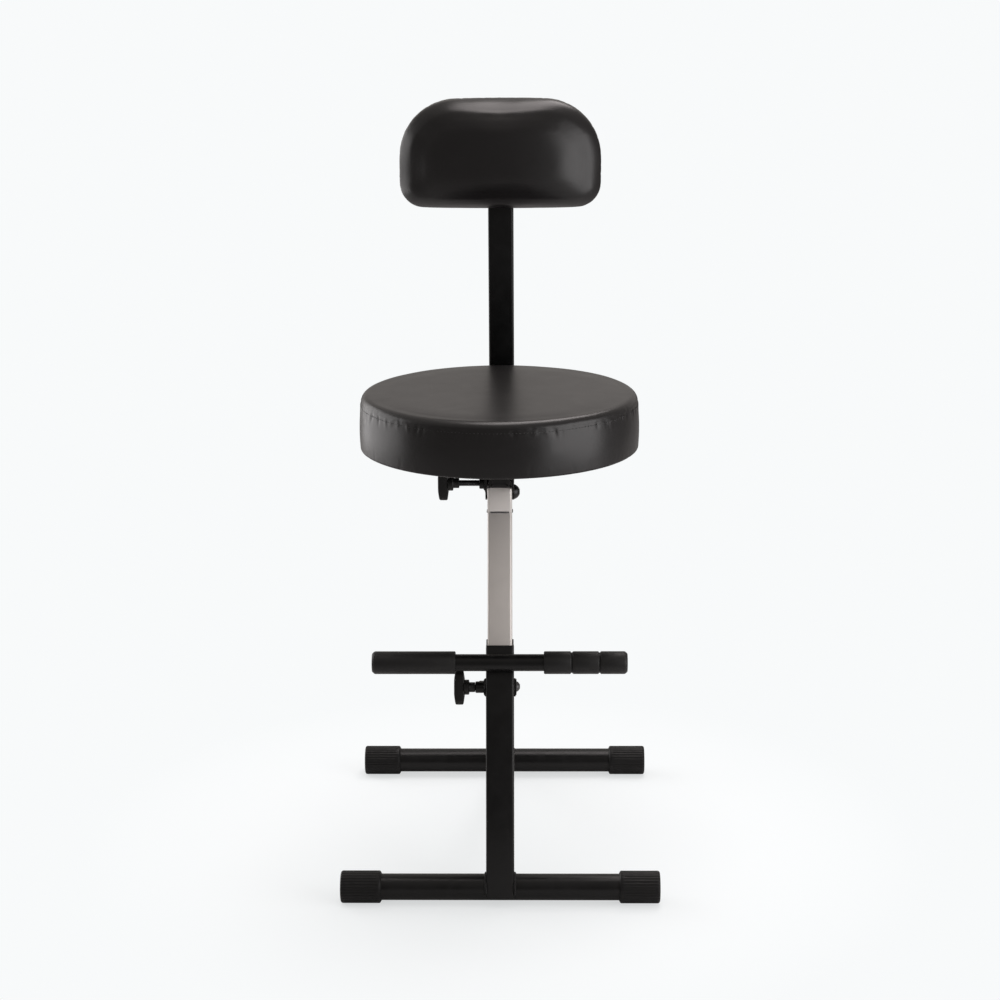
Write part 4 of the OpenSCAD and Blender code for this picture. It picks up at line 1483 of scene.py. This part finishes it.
def inflate(mesh: bpy.types.Mesh, held: Callable[[Vector], float], cap: float, pressure: float = 4.0,
            relax: int = 60) -> tuple[np.ndarray, np.ndarray]:
    """Swells a closed skin by cloth simulation.

    Args:
        mesh: The skin, in metres.
        held: How firmly each point is held, from 0 to 1, from its place in metres.
        cap: How far a point may move, in millimetres.
        pressure: Pressure inside.
        relax: How many neighbours share a point's move, which settles small buckles.

    Returns:
        Where the points were and how far each one moved, in metres.
    """
    scene = bpy.context.scene
    skin = link("swelling", mesh)
    group = skin.vertex_groups.new(name="held")
    for v in mesh.vertices:
        group.add([v.index], held(v.co), "REPLACE")
    cloth = skin.modifiers.new("cloth", "CLOTH")
    for name, value in {"quality": 5, "mass": 0.3, "tension_stiffness": 12, "compression_stiffness": 12,
                        "bending_stiffness": 1.5, "use_pressure": True, "uniform_pressure_force": pressure,
                        "vertex_group_mass": group.name}.items():
        setattr(cloth.settings, name, value)
    cloth.settings.effector_weights.gravity = 0
    cloth.point_cache.frame_start, cloth.point_cache.frame_end = 1, CLOTH_FRAMES
    for step in range(1, CLOTH_FRAMES + 1):
        scene.frame_set(step)
    swollen = skin.evaluated_get(bpy.context.evaluated_depsgraph_get()).to_mesh()
    rest, shift = (np.empty(len(m.vertices) * 3, np.float32) for m in (mesh, swollen))
    mesh.vertices.foreach_get("co", rest)
    swollen.vertices.foreach_get("co", shift)
    rest = rest.reshape(-1, 3)
    shift = shift.reshape(-1, 3) - rest
    length = np.maximum(np.linalg.norm(shift, axis=1, keepdims=True), 1e-9)
    shift *= np.minimum(length, cap * MM) / length
    tree = point_tree(rest)
    shift = np.array([shift[[i for _, i, _ in tree.find_n(co, relax)]].mean(0) for co in rest])
    bpy.data.objects.remove(skin)
    scene.frame_set(1)
    LOG.info("swelled %d points, by up to %.1f mm", len(rest), float(length.max()) / MM)
    return rest, shift


def carry(form: Form, rest: np.ndarray, shift: np.ndarray, keep: Callable[[Vector], float]) -> None:
    """Moves a form's points as the nearest points of a swollen skin moved.

    Args:
        form: The form, in millimetres.
        rest: The skin's points before, in metres.
        shift: How far each one moved, in metres.
        keep: Share of the move that a point takes, from its place in millimetres.
    """
    tree = point_tree(rest)
    for v in form.bm.verts:
        share = keep(v.co)
        if share <= 0:
            continue
        found = tree.find_n(v.co * MM, 6)
        weights = np.array([1 / (d + 0.0015) ** 2 for _, _, d in found])
        move = (shift[[i for _, i, _ in found]] * weights[:, None]).sum(0) / weights.sum()
        v.co += Vector(move) / MM * share


def staple_row(path: Sequence[Vector], count: int, out: Vector,
               where: Callable[[Vector], bool] = lambda at: True) -> Form:
    """Staples set by hand at even distances along a closed path.

    Args:
        path: The path's points.
        count: How many staples the whole path takes.
        out: Which way the stapled face looks.
        where: Says whether there is a staple at a place.

    Returns:
        The crowns of the staples.
    """
    form = Form()
    runs = list(zip(path, [*path[1:], path[0]]))
    whole = sum((b - a).length for a, b in runs)
    gone, index = 0.0, 0
    for a, b in runs:
        length = (b - a).length
        while index < count and whole * (index + 0.5) / count <= gone + length:
            at = a.lerp(b, (whole * (index + 0.5) / count - gone) / length)
            index += 1
            if where(at):
                askew = Matrix.Rotation(math.radians(8 * math.sin(index * 1.7)), 3, out)
                along = askew @ (b - a).normalized()
                at += along.cross(out) * math.sin(index * 2.4)
                turn = Matrix((along.cross(out), along, out)).transposed().to_4x4()
                crown = form.block((-0.35, -5, -0.25), (0.35, 5, 0.35))
                bmesh.ops.transform(form.bm, verts=crown, matrix=moved(*at) @ turn)
        gone += length
    form.soften(0.15, 1)
    return form


def dust_sheet(form: Form, node: str, body: str, area: float) -> None:
    """Ends a form as a stretched dust cover.

    Args:
        form: The cloth as a bare skin.
        node: The CAD node that it replaces.
        body: The body that it rides on.
        area: Its area in square metres; not used.
    """
    form.wall(CLOTH_T, 0)
    piece = form.piece(f"{node}_cloth", DUST_CLOTH, body, node)


@dataclass
class Puckers:
    """Short creases that gather along a seam, the same on each run."""

    seed: int
    length: float
    gap: tuple[float, float] = (7.0, 17.0)
    width: tuple[float, float] = (1.2, 2.6)
    depth: tuple[float, float] = (0.25, 1.0)
    reach: tuple[float, float] = (6.0, 15.0)

    def __post_init__(self) -> None:
        """Draws the creases along the seam."""
        draw = random.Random(self.seed)
        self.creases, at = [], 0.0
        while at < self.length:
            width = draw.uniform(*self.width)
            depth = draw.uniform(*self.depth) * draw.choice((1, 1, -0.6))
            self.creases.append((at, width, depth, draw.uniform(*self.reach), draw.uniform(-0.35, 0.35)))
            at += draw.uniform(*self.gap)
        self.starts = np.array([c[0] for c in self.creases])

    def depth_at(self, along: float, away: float) -> float:
        """How deep the creases are.

        Args:
            along: Distance along the seam.
            away: Distance from the seam.

        Returns:
            The depth, in millimetres.
        """
        if away > self.reach[1] * 1.5:
            return 0.0
        total = 0.0
        first = int(np.searchsorted(self.starts, along - 14))
        for at, width, depth, reach, slant in self.creases[max(0, first):first + 6]:
            off = along - at - slant * away
            if abs(off) < 3 * width and away < reach * 1.5:
                total += depth * math.exp(-(off / width) ** 2) * smooth_step(1 - away / (reach * 1.5))
        return total


@dataclass
class Seat:
    """The round seat: board, cushion with a sewn seam, gathered wrap and dust cover."""

    layout: Layout
    rise: float = 3.4
    crown: float = -0.6
    edge_r: float = 9.0
    start_inset: float = -0.6
    seam_drop: float = 6.5
    barrel: float = 1.1
    swell: float = 1.3
    pocket_h: float = 12.35
    wrap_inner: float = 149.0
    wrap_outer: float = 166.5
    steps: int = 480
    stitches: int = 240
    plate_corner: float = 12.0
    body: str = "seat_post"

    def build(self) -> None:
        """Makes the soft pieces and the screws, and dresses the board and its nuts."""
        self.radius = span("seat_cushion").x / 2
        self.height = span("seat_cushion").z
        self.seam_z = self.height - self.seam_drop
        self.pocket = high("seat_board").x + 0.25
        self.place = self.layout.on_seat_axis(low("seat_cushion").z)
        self.cushion()
        self.stitching()
        self.wrap()
        self.dust_cover()
        self.plate()
        dress(BIRCH, "seat_board")
        dress(BRIGHT_ZINC, "seat_tee_nuts")

    def outline(self, fine: bool) -> Profile:
        """The cushion's section before it swells.

        Args:
            fine: Whether it has the close rows that the creases need.

        Returns:
            Radius and height from the middle of the top, over the edge, to the board's pocket.
        """
        r, top, edge = self.radius - self.start_inset, self.height + self.rise, self.edge_r
        face_row, facets, side_row = (3.2, 12, 1.6) if fine else (8.0, 4, 8.0)
        rows = int((r - edge) / face_row)
        face = [((r - edge) * i / rows, top + self.crown * (1 - (i / rows) ** 2)) for i in range(rows)]
        arc = [(r - edge + edge * math.sin(a), top - edge + edge * math.cos(a))
               for a in (math.radians(90) * i / facets for i in range(facets + 1))]
        foot = top - edge - 1.5
        count = int(foot / side_row)
        side = [(r, foot * (1 - i / count) + 0.6 * i / count) for i in range(1, count + 1)]
        under = [(r - 0.25, -0.05), (r - 0.9, -0.5), (r - 2.2, -0.7), (r - 4.6, -0.5), (r - 7.5, 0.2)]
        return [*face, *arc, *side, *(under if fine else [(r - 2.5, 0.2)])]

    def cushion(self) -> None:
        """Makes the cushion, swells it, and works the seam and its creases into it."""
        form, foot = Form(), 0.2
        form.lathe([*self.outline(True), (self.pocket, foot), (self.pocket, self.pocket_h),
                    (0, self.pocket_h)], self.steps)
        skin = Form()
        skin.lathe([*self.outline(False), (0, foot)], 96)
        seam = self.seam_z * MM
        rest, shift = inflate(voxel_mesh(skin.mesh("seat_skin"), 5.5), lambda co: 1.0 if co.z < 0.006
                              else 0.25 * math.exp(-((co.z - seam) / 0.004) ** 2), self.swell)
        carry(form, rest, shift, lambda co: 0.0 if self.in_pocket(co) else smooth_step((co.z - 1.5) / 8))
        self.sculpt(form)
        form.place(self.place)
        piece = form.piece("seat_cushion_cover", VINYL, self.body, "seat_cushion", smooth=70)

    def in_pocket(self, co: Vector) -> bool:
        """Whether a point is on the recess that the board fills."""
        return math.hypot(co.x, co.y) < self.pocket + 0.5 and co.z < self.pocket_h + 0.65

    def sculpt(self, form: Form) -> None:
        """Draws the seam in, gathers creases along it and lets the faces wander a little.

        Args:
            form: The cushion.
        """
        seam_z, band = self.seam_z, 22
        around = math.tau * self.radius
        below = Puckers(11, around, depth=(0.45, 1.6))
        above = Puckers(23, around, depth=(0.1, 0.45), reach=(3.0, 7.0))
        hem = Puckers(37, around, gap=(14, 34), depth=(0.1, 0.35), reach=(6.0, 14.0))
        draw = random.Random(5)
        waves = [(draw.uniform(2, 9), draw.uniform(0, math.tau), draw.uniform(0.05, 0.2)) for _ in range(6)]

        def work(co: Vector) -> Vector:
            """Creases the rim, and lets the flat face wander.

            Args:
                co: A point.

            Returns:
                Where it goes.
            """
            if self.in_pocket(co):
                return co
            out, angle = math.hypot(co.x, co.y), math.atan2(co.y, co.x)
            along = (angle % math.tau) * self.radius
            if out > self.radius - band:
                off = co.z - seam_z
                inward = 0.28 * math.exp(-(off / 1.2) ** 2)
                inward += self.barrel * (((co.z - seam_z / 2) / (seam_z / 2)) ** 2 - 0.5)
                inward += below.depth_at(along, -off) if off < 0 else above.depth_at(along, off)
                inward += hem.depth_at(along, max(0.0, co.z - 2.0))
                inward += sum(a * math.sin(n * angle + p) for n, p, a in waves) * 0.5
                return radially(co, 1 - inward * smooth_step((out - self.radius + band) / 16) / out)
            lift = sum(a * math.sin(co.x / 46 * n / 5 + p) * math.cos(co.y / 60 + n) for n, p, a in waves)
            return co + Vector((0, 0, lift * 0.6))

        form.push(work)

    def stitching(self) -> None:
        """Makes the row of stitches under the seam."""
        form = Form()
        slant = turned("X", 6, (self.radius - 0.55, 0, self.seam_z - 3.0))
        for index in range(self.stitches):
            stitch = bmesh.ops.create_icosphere(form.bm, subdivisions=1, radius=1.0,
                                                matrix=Matrix.Diagonal((0.42, 1.55, 0.38, 1)))["verts"]
            place = turned("Z", 360 / self.stitches * index) @ slant
            bmesh.ops.transform(form.bm, verts=stitch, matrix=place)
        form.place(self.place).piece("seat_seam_stitches", THREAD, self.body)

    def wrap(self) -> None:
        """Makes the vinyl that is gathered under the board and stapled."""
        form, path_r = Form(), 160
        rows = [self.wrap_inner + (self.wrap_outer - self.wrap_inner) * i / 9 for i in range(10)]
        under = [(r, -0.42) for r in rows[:-1]] + [(self.wrap_outer, -0.2)]
        form.lathe(under + [(r, 0.12) for r in reversed(rows)], 360, loop=True)
        gather = Puckers(51, math.tau * path_r, gap=(5, 12), depth=(0.15, 0.35), reach=(9, 20))

        def fold(co: Vector) -> Vector:
            """Drops the underside into gathers.

            Args:
                co: A point.

            Returns:
                Where it goes.
            """
            along = (math.atan2(co.y, co.x) % math.tau) * path_r
            away = max(0.0, self.wrap_outer + 5.5 - math.hypot(co.x, co.y))
            return co - Vector((0, 0, abs(gather.depth_at(along, away)) if co.z < 0 else 0))

        form.push(fold)
        form.place(self.place).piece("seat_wrap", VINYL, self.body)

    def dust_cover(self) -> None:
        """Makes the dust cover: a round cloth with a square opening for the plate."""
        top, bottom = high("seat_dust_cover").z, low("seat_dust_cover").z
        radius, opening = span("seat_dust_cover").x / 2, span("seat_plate").x / 2 + 1.2
        form, corner = Form(), opening - self.plate_corner
        bmesh.ops.create_circle(form.bm, segments=192, radius=radius)
        for v in bmesh.ops.create_circle(form.bm, segments=192, radius=opening)["verts"]:
            square = v.co * (opening / max(abs(v.co.x), abs(v.co.y)))
            over = Vector((abs(square.x) - corner, abs(square.y) - corner))
            if min(over) > 0 and over.length > self.plate_corner:
                fixed = over.normalized() * self.plate_corner
                square = Vector((math.copysign(corner + fixed.x, square.x),
                                 math.copysign(corner + fixed.y, square.y), 0))
            v.co = square
        bmesh.ops.bridge_loops(form.bm, edges=form.bm.edges[:])
        rays = [e for e in form.bm.edges if not e.is_boundary]
        bmesh.ops.subdivide_edges(form.bm, edges=rays, cuts=9, use_grid_fill=True)
        draw = random.Random(8)
        waves = [(draw.uniform(18, 40), draw.uniform(0, math.tau)) for _ in range(5)]
        depth, face, axis = top - bottom - 0.55, bottom - 0.25, self.layout.on_seat_axis()

        def slack(co: Vector) -> Vector:
            """Lets the cloth hang in shallow waves.

            Args:
                co: A point.

            Returns:
                Where it goes.
            """
            ease = smooth_step((radius - 8 - math.hypot(co.x, co.y)) / 20)
            ripple = sum(math.sin(co.x / w + p) * math.cos(co.y / w - p) for w, p in waves) / len(waves)
            return Vector((co.x, co.y, face - depth * (0.5 + 0.5 * ripple) * ease))

        area = form.area()
        form.push(slack)
        form.turn_faces((0, 0, 2 * top))
        dust_sheet(form.place(axis), "seat_dust_cover", self.body, area)
        row = radius - 5
        ring = [Vector((row * math.cos(a), row * math.sin(a), face))
                for a in (math.tau * i / 90 for i in range(90))]
        staples = staple_row(ring, 44, Vector((0, 0, -1)))
        staples.place(axis).piece("seat_staples", BRIGHT_ZINC, self.body)

    def plate(self) -> None:
        """Makes the steel plate and its four screws."""
        start, end = low("seat_plate").z, high("seat_plate").z
        form = Form()
        form.square_bar(span("seat_plate").x, self.plate_corner, start, end, 10)
        form.soften(0.5, 2, 50)
        form.place(self.layout.on_seat_axis()).piece("seat_plate", GLOSS_BLACK, self.body)
        pitch = span("seat_screws").x / 2 - 6
        screws = Form()
        for x in (-pitch, pitch):
            for y in (-pitch, pitch):
                screws.join(dome(6, 3.4, 4).place(turned("X", 180, (x, y, start))))
        screws.place(self.layout.on_seat_axis()).piece("seat_screws", BRIGHT_ZINC, self.body)


@dataclass
class Backrest:
    """The padded backrest on its sliding sleeve."""

    layout: Layout
    top_r: float = 75.0
    bottom_r: float = 31.0
    start_inset: float = 0.8
    grow_side: float = 1.9
    grow_bottom: float = 3.8
    grow_top: float = -0.9
    front_r: float = 19.0
    dome_x: float = 22.0
    dome_top: float = 9.0
    dome_bottom: float = 3.0
    swell: float = 5.5
    board_t: float = 10.2
    board_inset: float = 8.6
    cover_inset: float = 15.0
    wrap_inset: float = 3.2
    wrap_w: float = 23.0
    sleeve_wall: float = 1.5
    body: str = "backrest"

    def build(self) -> None:
        """Makes the sleeve and the pad with their fittings."""
        self.low, self.high = low("backrest_pad"), high("backrest_pad")
        self.sleeve()
        self.pad()
        self.cover()
        dress(BIRCH, "backrest_board")
        dress(BRIGHT_ZINC, "backrest_tee_nuts")
        dress(BLACK_NYLON, "sleeve_liners")

    def outline(self, inset: float, front: float, back: float, plump: bool = False,
                ease: float = 0.0) -> Form:
        """A block with the pad's outline.

        Args:
            inset: How far it is drawn in from the pad's edge.
            front: Where it starts along y.
            back: Where it ends along y.
            plump: Whether it takes in how far the pad swells past its plain solid.
            ease: How much tighter its upper corners are than the pad's.

        Returns:
            The block.
        """
        a, b = self.low.copy(), self.high.copy()
        if plump:
            a -= Vector((self.grow_side, 0, self.grow_bottom))
            b += Vector((self.grow_side, 0, self.grow_top))
        form = Form()
        form.block((a.x + inset, front, a.z + inset), (b.x - inset, back, b.z - inset))
        middle_z = (a.z + b.z) / 2
        form.round_edges(form.along(1, lambda m: m.z > middle_z), self.top_r - inset - ease, 16)
        form.round_edges(form.along(1, lambda m: m.z < a.z + inset + 1), self.bottom_r - inset, 12)
        return form

    def sleeve(self) -> None:
        """Makes the sleeve, its cap, its boss and the screws through it."""
        start, end, y = low("backrest_sleeve").z, high("backrest_sleeve").z, middle("backrest_sleeve").y
        back = high("backrest_sleeve").y
        boss_at = turned("X", -90, (0, back, middle("sleeve_boss").z))
        for name, form, place, finish in (
            ("backrest_sleeve", square_tube(span("backrest_sleeve").x, self.sleeve_wall, start, end),
             moved(0, y, 0), GLOSS_BLACK),
            ("sleeve_cap", end_plug(span("sleeve_cap").x, 2.5, 0.9), moved(0, y, end), BLACK_NYLON),
            ("sleeve_boss", clamp_boss(span("sleeve_boss").y, 2.2), boss_at, GLOSS_BLACK),
        ):
            form.place(place).piece(name, finish, self.body)
        screws = Form()
        for z in (low("backrest_screws").z + 6, high("backrest_screws").z - 6):
            washer = Form()
            washer.lathe([(3, 0), (7.6, 0), (7.8, 0.2), (7.8, 0.9), (7.6, 1.1), (3, 1.1)], 40, loop=True)
            screws.join(washer.place(turned("X", -90, (0, back, z))))
            screws.join(dome(5.6, 3.0, 4).place(turned("X", -90, (0, back + 0.9, z))))
        screws.piece("backrest_screws", BLACK_OXIDE, self.body)

    def pad(self) -> None:
        """Makes the pad: a rounded outline, swollen, with creases drawn over its back edge."""
        front, back = self.low.y + self.start_inset + 1.0, self.high.y - 0.2
        form = self.outline(self.start_inset, front, back, plump=True)
        form.round_edges(form.edges(lambda e: max(v.co.y for v in e.verts) < front + 0.1), self.front_r, 10)
        form.round_edges(form.edges(lambda e: min(v.co.y for v in e.verts) > back - 0.1), 5.0, 4)
        skin = form.copy().mesh("pad_skin")
        form.bm.normal_update()
        rear = [f for f in form.bm.faces if f.normal.y > 0.999]
        bmesh.ops.inset_region(form.bm, faces=rear, thickness=self.board_inset - self.start_inset - 5.0)
        middle_z = (self.low.z + self.high.z) / 2
        for v in {v for f in rear for v in f.verts}:
            v.co.x -= math.copysign(self.grow_side, v.co.x)
            v.co.z += self.grow_bottom if v.co.z < middle_z else -self.grow_top
        pushed = bmesh.ops.extrude_face_region(form.bm, geom=rear)["geom"]
        bmesh.ops.delete(form.bm, geom=rear, context="FACES")
        form.shift(pushed, (0, -self.board_t, 0))
        fine = Form()
        fine.bm.from_mesh(voxel_mesh(form.mesh("pad_rough"), 2.2))
        bmesh.ops.scale(fine.bm, vec=(1 / MM,) * 3, verts=fine.bm.verts[:])
        for _ in range(8):
            bmesh.ops.smooth_vert(fine.bm, verts=fine.bm.verts[:], factor=0.5,
                                  use_axis_x=True, use_axis_y=True, use_axis_z=True)
        rest, shift = inflate(voxel_mesh(skin, 4.5),
                              lambda co: smooth_step((co.y / MM - back + 9) / 6), self.swell)
        carry(fine, rest, shift, lambda co: smooth_step((back - 4 - co.y) / 10))
        self.sculpt(fine, back)
        piece = fine.piece("backrest_pad_cover", VINYL, self.body, "backrest_pad", smooth=80)

    def sculpt(self, form: Form, back: float) -> None:
        """Bows the front face, and draws creases in over the pad's back edge.

        Args:
            form: The pad.
            back: Where its back edge is along y.
        """
        middle_z = (self.low.z + self.high.z) / 2
        half_x, half_z, edge_z, around = 129, 71, 69, 720
        gather = Puckers(71, around, gap=(8, 18), depth=(0.2, 0.75), reach=(7, 15))

        def work(co: Vector) -> Vector:
            """Bows the front face, and creases the rim.

            Args:
                co: A point.

            Returns:
                Where it goes.
            """
            out = Vector((co.x, 0, co.z - middle_z))
            lean = self.dome_top if out.z > 0 else self.dome_bottom
            bow = self.dome_x * (abs(out.x) / half_x) ** 2 + lean * (abs(out.z) / half_z) ** 3
            deep = max(0.0, back - co.y) / (back - self.low.y)
            co.y += bow * smooth_step(deep * 1.1)
            if max(abs(out.x) / half_x, abs(out.z) / edge_z) < 0.8:
                return co
            along = (math.atan2(out.z * 1.6, out.x) % math.tau) / math.tau * around
            pull = gather.depth_at(along, max(0.0, back - 2 - co.y))
            return co - out.normalized() * pull

        form.push(work)

    def cover(self) -> None:
        """Makes the wrap behind the board, and the dust cover with its slot for the sleeve."""
        y0, y1 = low("backrest_cover").y, high("backrest_cover").y
        wrap = self.outline(self.wrap_inset, y0 - 3.7, y0 + 0.2, ease=3.0)
        wrap.drop_faces(lambda f: f.normal.y < -0.9)
        rear = [f for f in wrap.bm.faces if f.normal.y > 0.9]
        bmesh.ops.inset_region(wrap.bm, faces=rear, thickness=self.wrap_w)
        wrap.drop_faces(lambda f: len(f.verts) > 4)
        wrap.wall(0.4, 0)
        wrap.piece("backrest_wrap", VINYL, self.body)
        cloth, edge = (self.outline(self.cover_inset + inset, y0, y1 + 0.3) for inset in (0, 5))
        for form in (cloth, edge):
            form.drop_faces(lambda f: f.normal.y < 0.9)
        path = [v.co.copy() for v in edge.bm.faces[:][0].verts]
        half, top = span("backrest_sleeve").x / 2 + 0.6, high("backrest_sleeve").z + 4
        for x in (-half, half):
            cloth.cut((x, 0, 0), (1, 0, 0), clear=False)
        cloth.cut((0, 0, top), (0, 0, 1), clear=False)
        cloth.drop_faces(lambda f: abs(f.calc_center_median().x) < half and f.calc_center_median().z < top)
        staples = staple_row(path, 30, Vector((0, 1, 0)), lambda at: abs(at.x) > half + 4 or at.z > top + 6)
        staples.piece("backrest_staples", BRIGHT_ZINC, self.body)
        dust_sheet(cloth, "backrest_cover", self.body, cloth.area())


# ------------------------------------------------------------------ studio


@dataclass(frozen=True)
class Softbox:
    """A rectangular studio lamp that faces the throne."""

    name: str
    azimuth: float
    elevation: float
    distance: float
    size: tuple[float, float]
    power: float
    aim_z: float = 0.6
    colour: Triple = (1.0, 0.975, 0.975)

    def build(self, centre: Vector) -> None:
        """Hangs the lamp.

        Args:
            centre: Middle of the throne's outline on the floor.
        """
        data = bpy.data.lights.new(self.name, "AREA")
        data.shape, data.energy = "RECTANGLE", self.power
        data.size, data.size_y = self.size
        data.color = self.colour
        lamp = link(self.name, data)
        a, e = math.radians(self.azimuth), math.radians(self.elevation)
        back = Vector((math.sin(a) * math.cos(e), -math.cos(a) * math.cos(e), math.sin(e)))
        aim = Vector((centre.x, centre.y, self.aim_z))
        lamp.location = aim + back * self.distance
        lamp.rotation_mode = "QUATERNION"
        lamp.rotation_quaternion = (-back).to_track_quat("-Z", "Y")
        lamp.visible_camera = False


@dataclass
class Studio:
    """Pale floor, white surroundings, softboxes and the camera."""

    layout: Layout
    floor_half: float = 30.0
    white: Triple = (0.94, 0.955, 0.96)
    warm: Triple = (1.0, 0.94, 0.89)
    far_floor: float = 0.45
    lens: float = 81.74
    pitch: float = 15.04
    yaw: float = 0.93
    roll: float = -0.33
    side: float = 0.045
    distance: float = 2.7582
    height: float = 1.2274
    lamps: tuple[Softbox, ...] = (
        Softbox("softbox_left_back", -112, 5, 1.7, (1.9, 1.4), 17),
        Softbox("softbox_right", 60, 5, 1.7, (1.6, 1.3), 17.5),
        Softbox("softbox_top", 150, 74, 2.2, (0.9, 2.4), 33, colour=(1.0, 0.93, 0.92)),
    )

    def build(self) -> None:
        """Makes everything that isn't the throne."""
        low_corner, high_corner = CAD_BOX
        centre = (low_corner + high_corner) / 2
        self.camera()
        self.floor()
        self.world()
        for lamp in self.lamps:
            lamp.build(centre)
        bpy.context.scene.view_settings.view_transform = "Standard"

    def camera(self) -> None:
        """Makes the camera, in front of the seat and looking slightly down."""
        data = bpy.data.cameras.new("camera")
        data.lens, data.sensor_width = self.lens, 36.0
        camera = link("camera", data)
        place = (self.side, self.layout.seat_y * MM - self.distance, self.height)
        level = turned("Z", self.yaw, place)
        camera.matrix_world = level @ turned("X", 90 - self.pitch) @ turned("Z", self.roll)
        bpy.context.scene.camera = camera

    def seen(self, graph: NodeGraph) -> Socket:
        """1 for camera rays and rays through glass."""
        rays = graph.add("LightPath").outputs
        return graph.maths("MAXIMUM", rays["Is Camera Ray"], rays["Is Transmission Ray"])

    def floor(self) -> None:
        """Makes the floor: pale, with the throne's soft shadow on it."""
        form = Form()
        half = self.floor_half / MM
        bmesh.ops.create_grid(form.bm, x_segments=8, y_segments=8, size=half)
        mesh = form.place(moved(0, half * 0.6, -0.05)).mesh("floor")
        floor = link("floor", mesh)
        material = bpy.data.materials.new("pale_floor")
        material.use_nodes = True
        graph = NodeGraph(material.node_tree)
        away = graph.add("VectorMath", {0: graph.add("TexCoord").outputs["Object"]}, operation="LENGTH")
        pale = graph.span(away.outputs["Value"], 0.80, self.far_floor, 0.45, 0.95)
        plain = graph.add("BsdfDiffuse", {"Color": pale})
        shadowed = graph.add("BsdfDiffuse", {"Color": rgba((0.345, 0.365, 0.375))})
        glow, blank = (graph.add("Emission", {"Color": rgba(self.white), "Strength": strength})
                       for strength in (0.635, 1.0))
        near = graph.add("AddShader", {0: shadowed.outputs[0], 1: glow.outputs[0]})
        fade = graph.span(away.outputs["Value"], 0, 1, 0.33, 0.56)
        both = graph.add("MixShader", {0: fade, 1: near.outputs[0], 2: blank.outputs[0]})
        graph.output(graph.add("MixShader", {0: self.seen(graph), 1: plain.outputs[0], 2: both.outputs[0]}))
        mesh.materials.append(material)

    def world(self) -> None:
        """Makes the surroundings: white to the camera, brighter behind and above to reflections."""
        world = bpy.data.worlds.new("studio")
        bpy.context.scene.world = world
        world.use_nodes = True
        graph = NodeGraph(world.node_tree)
        way = graph.add("SeparateXYZ", {0: graph.add("TexCoord").outputs["Generated"]}).outputs
        behind = graph.span(way["Y"], 0.24, 0.50, 0.45, 0.95)
        above = graph.span(way["Z"], 0.0, 0.35, 0.30, 0.95)
        lit = graph.maths("ADD", behind, above)
        seen = self.seen(graph)
        strength = graph.add("Mix", {0: seen, 2: lit, 3: 1.0}).outputs[0]
        colour = graph.mix(seen, self.warm, self.white)
        graph.output(graph.add("Background", {"Color": colour, "Strength": strength}), "OutputWorld")


def clamp_knobs(layout: Layout) -> list[ClampKnob]:
    """The three clamp knobs, each in its own frame.

    Args:
        layout: The shared axes.

    Returns:
        The knobs for the leg, the arm and the sleeve.
    """
    lock_mouth, arm_mouth, sleeve_mouth = low("lock_boss").x - 0.3, high("arm_knob").x, low("sleeve_knob").y
    lock = layout.on_leg((lock_mouth, 0, layout.up_leg("lock_boss").z)) @ turned("Y", -90)
    arm_at = middle("arm_screw")
    arm = turned("Y", -90, (arm_mouth, arm_at.y, arm_at.z))
    sleeve = turned("X", -90, (0, sleeve_mouth, middle("sleeve_screw").z))
    return [
        ClampKnob("lock", lock, high("lock_screw").x - lock_mouth),
        ClampKnob("arm", arm, high("arm_screw").x - arm_mouth),
        ClampKnob("sleeve", sleeve, sleeve_mouth - low("sleeve_screw").y),
    ]


def main() -> None:
    """Builds the studio and then the throne, from the floor up."""
    logging.basicConfig(level=logging.INFO, format="%(name)s: %(message)s")
    layout = Layout()
    Studio(layout).build()
    FrontFrame(layout).build()
    RearFrame(layout).build()
    PostAndHead(layout).build()
    for knob in clamp_knobs(layout):
        knob.build()
    BackrestArm(layout).build()
    Seat(layout).build()
    Backrest(layout).build()


if __name__ == "__main__":
    main()
